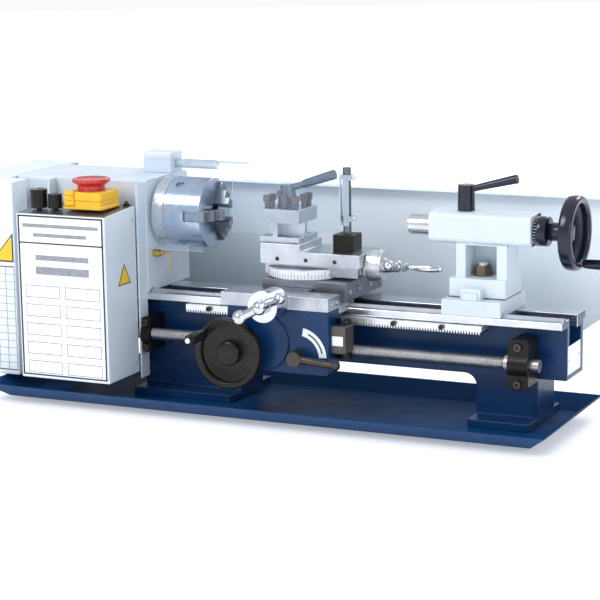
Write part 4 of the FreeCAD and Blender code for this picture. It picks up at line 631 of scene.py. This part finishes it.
def control_plate():
    """Blank plate on the control box's front: frame, plain bars for lines of print, and empty fields."""
    low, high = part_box("control_box")
    face, top = low.y, high.z - 5 * MM
    left, right, bottom = low.x + 1.6 * MM, high.x - 1.6 * MM, low.z + 2 * MM
    thickness, print_root = 0.6, 0.55

    def area(work, spans, root, proud):
        """Boxes on the plate, each between shares of the plate's width and height."""
        for u0, u1, v0, v1 in spans:
            box_into(work, (left + (right - left) * u0, face - proud * MM, bottom + (top - bottom) * v0),
                     (left + (right - left) * u1, face - root * MM, bottom + (top - bottom) * v1))

    def plate(work):
        area(work, [(0, 1, 0, 1)], 0, thickness)

    def frame_lines(work):
        area(work, [(0.005, 0.995, 0.985, 0.995), (0.005, 0.995, 0.006, 0.016),
                    (0.005, 0.024, 0.006, 0.995), (0.976, 0.995, 0.006, 0.995),
                    (0.005, 0.995, 0.822, 0.831)], print_root, 0.75)

    def fields(work):
        for row in range(5):
            v0, v1 = 0.49 - 0.117 * row, 0.567 - 0.117 * row
            for u0, u1 in ((0.07, 0.475), (0.535, 0.94)):
                area(work, [(u0, u1, v1 - 0.005, v1), (u0, u1, v0, v0 + 0.005), (u0, u0 + 0.008, v0, v1),
                            (u1 - 0.008, u1, v0, v1)], print_root, 0.7)

    def bars(work):
        area(work, [(0.2, 0.82, 0.722, 0.754), (0.2, 0.82, 0.635, 0.683), (0.06, 0.94, 0.922, 0.944),
                    (0.18, 0.8, 0.865, 0.887)], print_root, 0.7)

    piece("box_plate", plate, print_white, "machine", "white_paint", 0.15)
    piece("box_plate_lines", frame_lines, print_black, "machine", "black_plastic", 0.04)
    piece("box_plate_fields", fields, print_grey, "machine", "black_plastic", 0.03)
    piece("box_plate_bars", bars, print_grey, "machine", "black_plastic", 0.03)
    corners = [on_side(high.x, y, z) for y, z in ((-101, -73), (-73, -73), (-87, -49))]
    plain_sign("box_patch", corners, Vector((0.3 * MM, 0, 0)))


def plain_sign(name, corners, out):
    """A plain yellow triangle with a dark border."""
    middle = sum(corners, Vector()) / len(corners)
    inner = [middle + (corner - middle) * 0.84 for corner in corners]
    piece(name + "_border", lambda work: prism_into(work, corners, out), print_black,
          "machine", "black_plastic", 0.05)
    piece(name, lambda work: prism_into(work, inner, out * 1.3), print_yellow,
          "machine", "yellow_plastic", 0.05)


def cover_plate():
    """Empty ruled table and a plain warning triangle on the gear cover, and the cover's two screws."""
    low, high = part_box("gear_cover")
    left, right, top, bottom = -290, -216, -62, -184

    def bar(work, x0, x1, z0, z1, proud):
        box_into(work, on_front(x0, low.y - proud * MM, z0), on_front(x1, low.y + 0.05 * MM, z1))

    def lines(work):
        for z in (top, bottom):
            bar(work, left, right, z, z + 1.1, 0.3)

    def rows(work):
        for k in range(1, 14):
            z = top - 8.7 * k
            bar(work, left, right, z, z + 0.5, 0.25)
        for x in (left, -262, -240, -228, right - 0.6):
            bar(work, x, x + 0.6, bottom, top, 0.25)

    corners = [on_front(x, low.y, z) for x, z in ((-246, -56), (-216, -56), (-216, -22))]
    piece("cover_lines", lines, print_black, "machine", "black_plastic", 0.05)
    piece("cover_rows", rows, print_grey, "machine", "black_plastic", 0.03)
    plain_sign("cover_patch", corners, Vector((0, -0.3 * MM, 0)))
    screws("cover_screws", [on_front(-257, high.y, z) for z in (15, -165)], (0, 1, 0), 5, 2.5,
           "machine", "dark_steel", dark_steel)


# ---------------------------------------------------------------- dials, scales and fittings

def tick_into(work, start, side, run, half, low, high, out):
    """A fine raised line, from low to high along run, in millimetres."""
    corners = [start + (side * s * half + run * t) * MM for s, t in
               ((-1, low), (1, low), (1, high), (-1, high))]
    prism_into(work, corners, out)


def turned(first, second, angle):
    """The first direction turned towards the second by an angle in degrees."""
    a = math.radians(angle)
    return first * math.cos(a) + second * math.sin(a)


def swivel_scale():
    """White strip round the compound's base with ticks every five degrees, held by two screws."""
    low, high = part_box("compound_base")
    across, away, up = Vector((1, 0, 0)), Vector((0, 1, 0)), Vector((0, 0, 1))
    centre = Vector((at(117, 0, 0).x, 0, low.z))
    radius = (high.y - low.y) / 2 / MM
    inner, outer, bottom, top = radius - 0.05, radius + 0.45, 1.4, 11

    def strip(work):
        steps = 40
        rows = []
        for k in range(steps + 1):
            run = turned(across, away, -152 + 124 * k / steps)
            rows.append([centre + (run * r + up * z) * MM for r, z in
                         ((inner, bottom), (outer, bottom), (outer, top), (inner, top))])
        skin_into(work, rows)

    def marks(work):
        for k in range(-50, 51, 5):
            run, side = turned(across, away, k - 90), turned(away, -across, k - 90)
            start = centre + (run * (radius + 0.42) + up * 2.2) * MM
            tick_into(work, start, side, up, 0.2, 0, 7 if k % 25 == 0 else 4.5, run * 0.12 * MM)

    def heads(work):
        for angle in (-148, -32):
            run = turned(across, away, angle)
            socket_cap(work, centre + (run * (radius + 0.3) + up * 6.2) * MM, run, 2.4, 1.1)
    piece("swivel_scale", strip, print_white, "swivel", "machined_steel", 0.12)
    piece("swivel_marks", marks, print_black, "swivel", "black_plastic", 0.02)
    piece("swivel_screws", heads, satin_dial, "swivel", "machined_steel", 0.15)


def dial_marks(name, centre, direction, radius, low, high, count, body, material):
    """Fine lines round a dial, every fifth one longer."""
    run = Vector(direction)
    first = run.orthogonal().normalized()
    second = run.cross(first)

    def fill(work):
        for k in range(count):
            out, side = turned(first, second, 360 * k / count), turned(second, -first, 360 * k / count)
            reach = high if k % 5 == 0 else low + (high - low) * 0.6
            start = centre + out * (radius - 0.02) * MM
            tick_into(work, start, side, run, 0.22, low, reach, out * 0.1 * MM)
    piece(name, fill, material, body, "black_plastic", 0.02)


def dials():
    """Ticks, without figures, on the two feed dials and the tailstock's sleeve."""
    dial_marks("cross_dial_marks", at(118.6, -112, -79), (0, -1, 0), 17.5, 0.6, 5.5, 40,
               "cross_crank", print_black)
    dial_marks("top_dial_marks", at(193.6, 0, -48.5), (1, 0, 0), 18, 0.8, 6, 40,
               "compound_crank", print_black)
    dial_marks("tail_sleeve_marks", at(386.3, 0, 0), (1, 0, 0), 16, 0.8, 5, 30, "tail_wheel", print_white)


def fittings():
    """Small screws that sit on the castings and sheets."""
    screws("gib_screws_top", [at(x, -28.8, -43) for x in (93, 128, 163)], (0, -1, 0), 1.9, 1.0,
           "compound", "dark_steel", dark_steel)
    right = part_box("cross_slide")[1].x
    screws("gib_screws_cross", [on_side(right, y, -75) for y in (-30, -5, 25, 50)], (1, 0, 0), 2.6, 2.2,
           "cross_slide", "machined_steel", satin_dial)
    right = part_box("saddle")[1].x
    screws("saddle_screws", [on_side(right, y, -79.5) for y in (-82, -68)], (1, 0, 0), 2.2, 1.8,
           "carriage", "machined_steel", satin_dial)
    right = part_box("control_box")[1].x
    screws("box_side_screws", [on_side(right, -66, z) for z in (-2, -168)], (1, 0, 0), 2.2, 1.2,
           "machine", "machined_steel", satin_dial)
    screws("guard_tab_screws", [at(x, 63, -14) for x in (-189, -99)], (0, 1, 0), 3.2, 2,
           "machine", "dark_steel", dark_steel)
    motor_end, across, up = at(-205, 80, -135), Vector((0, 1, 0)), Vector((0, 0, 1))
    places = [motor_end + turned(across, up, angle) * 26 * MM for angle in (45, 135, 225, 315)]
    screws("motor_screws", places, (-1, 0, 0), 2.6, 2.2, "machine", "dark_steel", dark_steel)


def bed_plate():
    """Blank data plate on the end of the bed, held by two rivets."""
    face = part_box("bed")[1].x

    def plate(work):
        box_into(work, on_side(face - 0.1 * MM, -22, -150), on_side(face + 0.35 * MM, 22, -119))
    piece("end_plate", plate, satin_dial, "machine", "machined_steel", 0.15)
    screws("end_plate_rivets", [on_side(face + 0.3 * MM, y, -134.5) for y in (-19.5, 19.5)], (1, 0, 0),
           1.4, 0.6, "machine", "machined_steel", satin_dial)


def lever_plate():
    """White quarter-round plate beside the half-nut lever, with a dark arc on it."""
    centre = at(146.4, -90, -138.4)
    across, out, up = Vector((1, 0, 0)), Vector((0, -1, 0)), Vector((0, 0, 1))

    def band(work, inner, outer, start, end, root, proud):
        steps = 24
        rows = []
        for k in range(steps + 1):
            run = turned(across, up, start + (end - start) * k / steps)
            rows.append([centre + (run * r + out * o) * MM for r, o in
                         ((inner, root), (outer, root), (outer, proud), (inner, proud))])
        skin_into(work, rows)
    piece("lever_plate", lambda work: band(work, 24, 33, 2, 80, 0, 0.5), print_white,
          "carriage", "white_paint", 0.12)
    piece("lever_plate_arc", lambda work: band(work, 27.6, 29.4, 12, 66, 0.45, 0.6), print_black,
          "carriage", "black_plastic", 0.03)


def dial_housing():
    """Cast housing of the thread dial, over the CAD block, with a blank label."""
    def case(work):
        box_into(work, at(182, -84.25, -133.25), at(199.25, -60.8, -102.8))

    def label(work):
        box_into(work, at(183.4, -84.65, -124), at(196.4, -84.1, -113.5))
    piece("thread_dial_case", case, case_iron, "carriage", "black_iron", 1.4, 3)
    piece("thread_dial_label", label, print_white, "carriage", "white_paint", 0.1)


def tailstock_joint():
    """Lug cast on the tailstock's base, and the oily joint line under the casting's foot."""
    def lug(work):
        box_into(work, at(313, -37, -73.4), at(336, -24.8, -61))
        box_into(work, at(316, -39.5, -73.4), at(333, -36, -65))
    piece("tail_lug", lug, pale, "tailstock", "pale_paint", 1.0)
    piece("tail_joint_line", lambda work: box_into(work, at(295.6, -25.3, -73.05), at(360, 28.3, -71.7)),
          oiled_steel, "tailstock", "dark_steel", 0.1)


def box_top():
    """Brushed plate on the control box's sloping top, and the small catch behind the stop's case."""
    left, length, thick = -184.6, 112.4, 0.35
    front, front_z, rear, rear_z = -126.2, 8.75, -60, 13.1

    def plate(work):
        outline = [at(left, y, z) for y, z in ((front, front_z), (rear, rear_z), (rear, rear_z + thick),
                                               (front, front_z + thick))]
        prism_into(work, outline, (length * MM, 0, 0))

    def catch(work):
        box_into(work, at(-82.5, -65.5, 12.6), at(-76.5, -60, 15.2))
        round_into(work, at(-79.5, -62.8, 15), at(-79.5, -62.8, 18.2), 2.2 * MM, 1.6 * MM, 20)
    piece("box_top_plate", plate, top_plate, "machine", "machined_steel", 0.12)
    piece("box_catch", catch, black_plastic, "machine", "black_plastic", 0.5)


def stop_clip():
    """Moulded clip on the front of the stop's lid, with its finger tab."""
    def clip(work):
        box_into(work, at(-131, -112, 17.6), at(-119, -109.6, 30.5))
        box_into(work, at(-129.5, -113.2, 24), at(-120.5, -111.5, 29.5))
        box_into(work, at(-131, -112, 28.5), at(-119, -104, 34.4))
    piece("stop_clip", clip, yellow, "estop_lid", "yellow_plastic", 0.7)


def chuck_details():
    """Painted shade: a band of darker steel round the chuck body where its groove lies; and the bevelled
    mouths of its key sockets.
    """
    def groove(work):
        ring_into(work, at(-46.45, 0, 0), (1, 0, 0), [(39.7, 0), (40.06, 0), (40.06, 0.9), (39.7, 0.9)])

    def mouths(work):
        mouth = [(4.6, -3), (4.6, -0.4), (7.4, 0.55), (7.4, -3)]
        for angle in (120, 0, -120):
            out = turned(Vector((0, 1, 0)), Vector((0, 0, 1)), angle)
            ring_into(work, at(-33, 0, 0) + out * 38.9 * MM, out, mouth, 48)
    # the groove is drawn as a band of painted shade
    piece("chuck_groove_painted_shade", groove, shaded_steel, "spindle", "dark_steel", 0)
    piece("chuck_sockets", mouths, jaw_steel, "spindle", "dark_steel", 0.12)


def chuck_fitting():
    """Brass stop screw and its bent rod on the headstock, below the chuck."""
    start = on_side(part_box("headstock")[1].x, -26, -46)
    out, up = Vector((MM, 0, 0)), Vector((0, 0, MM))
    rod_start, bend, rod_radius = start + out * 11 + up * 1.2, start + out * 21 + up * 1.2, 0.9

    def fill(work):
        round_into(work, start, start + out * 9, 5 * MM, 4.4 * MM, 6)
        round_into(work, start + out * 9, start + out * 13, 2.6 * MM, 2.2 * MM, 20)
        round_into(work, rod_start, bend + out * rod_radius, rod_radius * MM, None, 16)
        round_into(work, bend + up * 0.6, bend - up * 19, rod_radius * MM, None, 16)
    piece("head_fitting", fill, brass, "machine", "brass", 0.4)


# ---------------------------------------------------------------- handwheels, leadscrew's thread

def rim_outline(inner, outer, depth, points=20, square=3.2):
    """Rounded section of a wheel's rim: a superellipse from the inner to the outer radius."""
    middle, half, high = (inner + outer) / 2, (outer - inner) / 2, depth / 2
    outline = []
    for k in range(points):
        c, v = math.cos(math.tau * k / points), math.sin(math.tau * k / points)
        outline.append((middle + half * math.copysign(abs(c) ** (2 / square), c),
                        -high + high * math.copysign(abs(v) ** (2 / square), v)))
    return outline


def handwheel(node, centre, out, radius, width, depth, hub, body, slot, material, pin):
    """Dished wheel: rounded rim, web, turned hub and the pin that carries the grip."""
    hub_radius, hub_front, hub_back = hub

    def rim(work):
        ring_into(work, centre, out, rim_outline(radius - width, radius, depth))

    def web(work):
        low, thick = 2.5 - depth, 2.4
        dish = [(hub_radius - 1, low + 1), (13, low + 0.2), (16, low), (20, low + 0.3), (24, low + 1.2),
                (28.5, low + 2.6), (radius - width + 1, -depth * 0.5)]
        ring_into(work, centre, out, dish + [(r, h - thick) for r, h in reversed(dish)], 72)

    def boss(work):
        middle = 0.01
        ring_into(work, centre, out, [(middle, hub_front), (hub_radius - 3, hub_front),
                                      (hub_radius - 1, hub_front - 0.8), (hub_radius, hub_front - 2.4),
                                      (hub_radius, hub_back + 1), (hub_radius - 1, hub_back),
                                      (middle, hub_back)], 64, closed=False)

    def pin_rod(work):
        start, length = pin
        round_into(work, start, start + Vector(out) * length * MM, 3 * MM)

    rim_piece = piece(node + "_rim", rim, material, body, slot, 0)
    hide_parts(node)
    piece(node + "_web", web, material, body, slot, 0.5)
    piece(node + "_hub", boss, material, body, slot, 0)
    piece(node + "_pin", pin_rod, satin_dial, body, "machined_steel", 0.4)


def handwheels():
    """The carriage's and the tailstock's wheels, and the tailstock's dial sleeve and screw."""
    front, tail = at(71, -116, -136), at(436, 0, 0)
    pin = front + turned(Vector((1, 0, 0)), Vector((0, 0, 1)), 140) * 33 * MM + Vector((0, 2 * MM, 0))
    handwheel("carriage_handwheel", front, (0, -1, 0), 40, 8.4, 12, (13.9, -1.5, -20),
              "carriage_wheel", "black_iron", wheel_black, (pin, 44))
    pin = tail + Vector((-3, 5, -33.5)) * MM
    handwheel("tailstock_handwheel", tail, (1, 0, 0), 40, 9, 15, (10, -8, -35),
              "tail_wheel", "black_plastic", navy_plastic, (pin, 60))

    def sleeve(work):
        ring_into(work, at(386.3, 0, 0), (1, 0, 0), [(0.01, 0), (15.2, 0), (16, 0.8), (16, 13.4),
                                                   (15.2, 14.2), (0.01, 14.2)], 64, closed=False)

    def screw(work):
        round_into(work, at(318, 0, 0), at(418, 0, 0), 5 * MM)
    piece("tail_sleeve", sleeve, navy_plastic, "tail_wheel", "black_plastic", 0)
    piece("tail_screw", screw, screw_steel, "tail_wheel", "machined_steel", 0.3)


def leadscrew_thread():
    """The leadscrew's thread as a helix: root, flank, crest, flank, once every 2 mm."""
    pitch, sides, crest, root = 2.0, 20, 7.0, 6.1
    start, end, axis_y, axis_z = -252, 371, -50, -135.5
    section = ((0.0, root), (0.55, root), (0.85, crest), (1.7, crest))

    def helix(work):
        turns = int((end - start) / pitch)
        rows = []
        for k in range(turns * sides):
            a = math.tau * k / sides
            rows.append([work.verts.new(at(start + pitch * k / sides + x, axis_y + r * math.cos(a),
                                           axis_z + r * math.sin(a))) for x, r in section])
        for k in range(len(rows) - 1):
            for j in range(3):
                work.faces.new((rows[k][j], rows[k + 1][j], rows[k + 1][j + 1], rows[k][j + 1]))
            if k + sides + 1 < len(rows):
                work.faces.new((rows[k][3], rows[k + 1][3], rows[k + sides + 1][0], rows[k + sides][0]))
        bmesh.ops.recalc_face_normals(work, faces=work.faces)
    piece("leadscrew_thread", helix, screw_steel, "leadscrew", "machined_steel", 0)


control_plate()
cover_plate()
swivel_scale()
dials()
fittings()
bed_plate()
lever_plate()
dial_housing()
tailstock_joint()
chuck_fitting()
chuck_details()
box_top()
stop_clip()
handwheels()
leadscrew_thread()

set_camera()
set_studio()
set_floor()
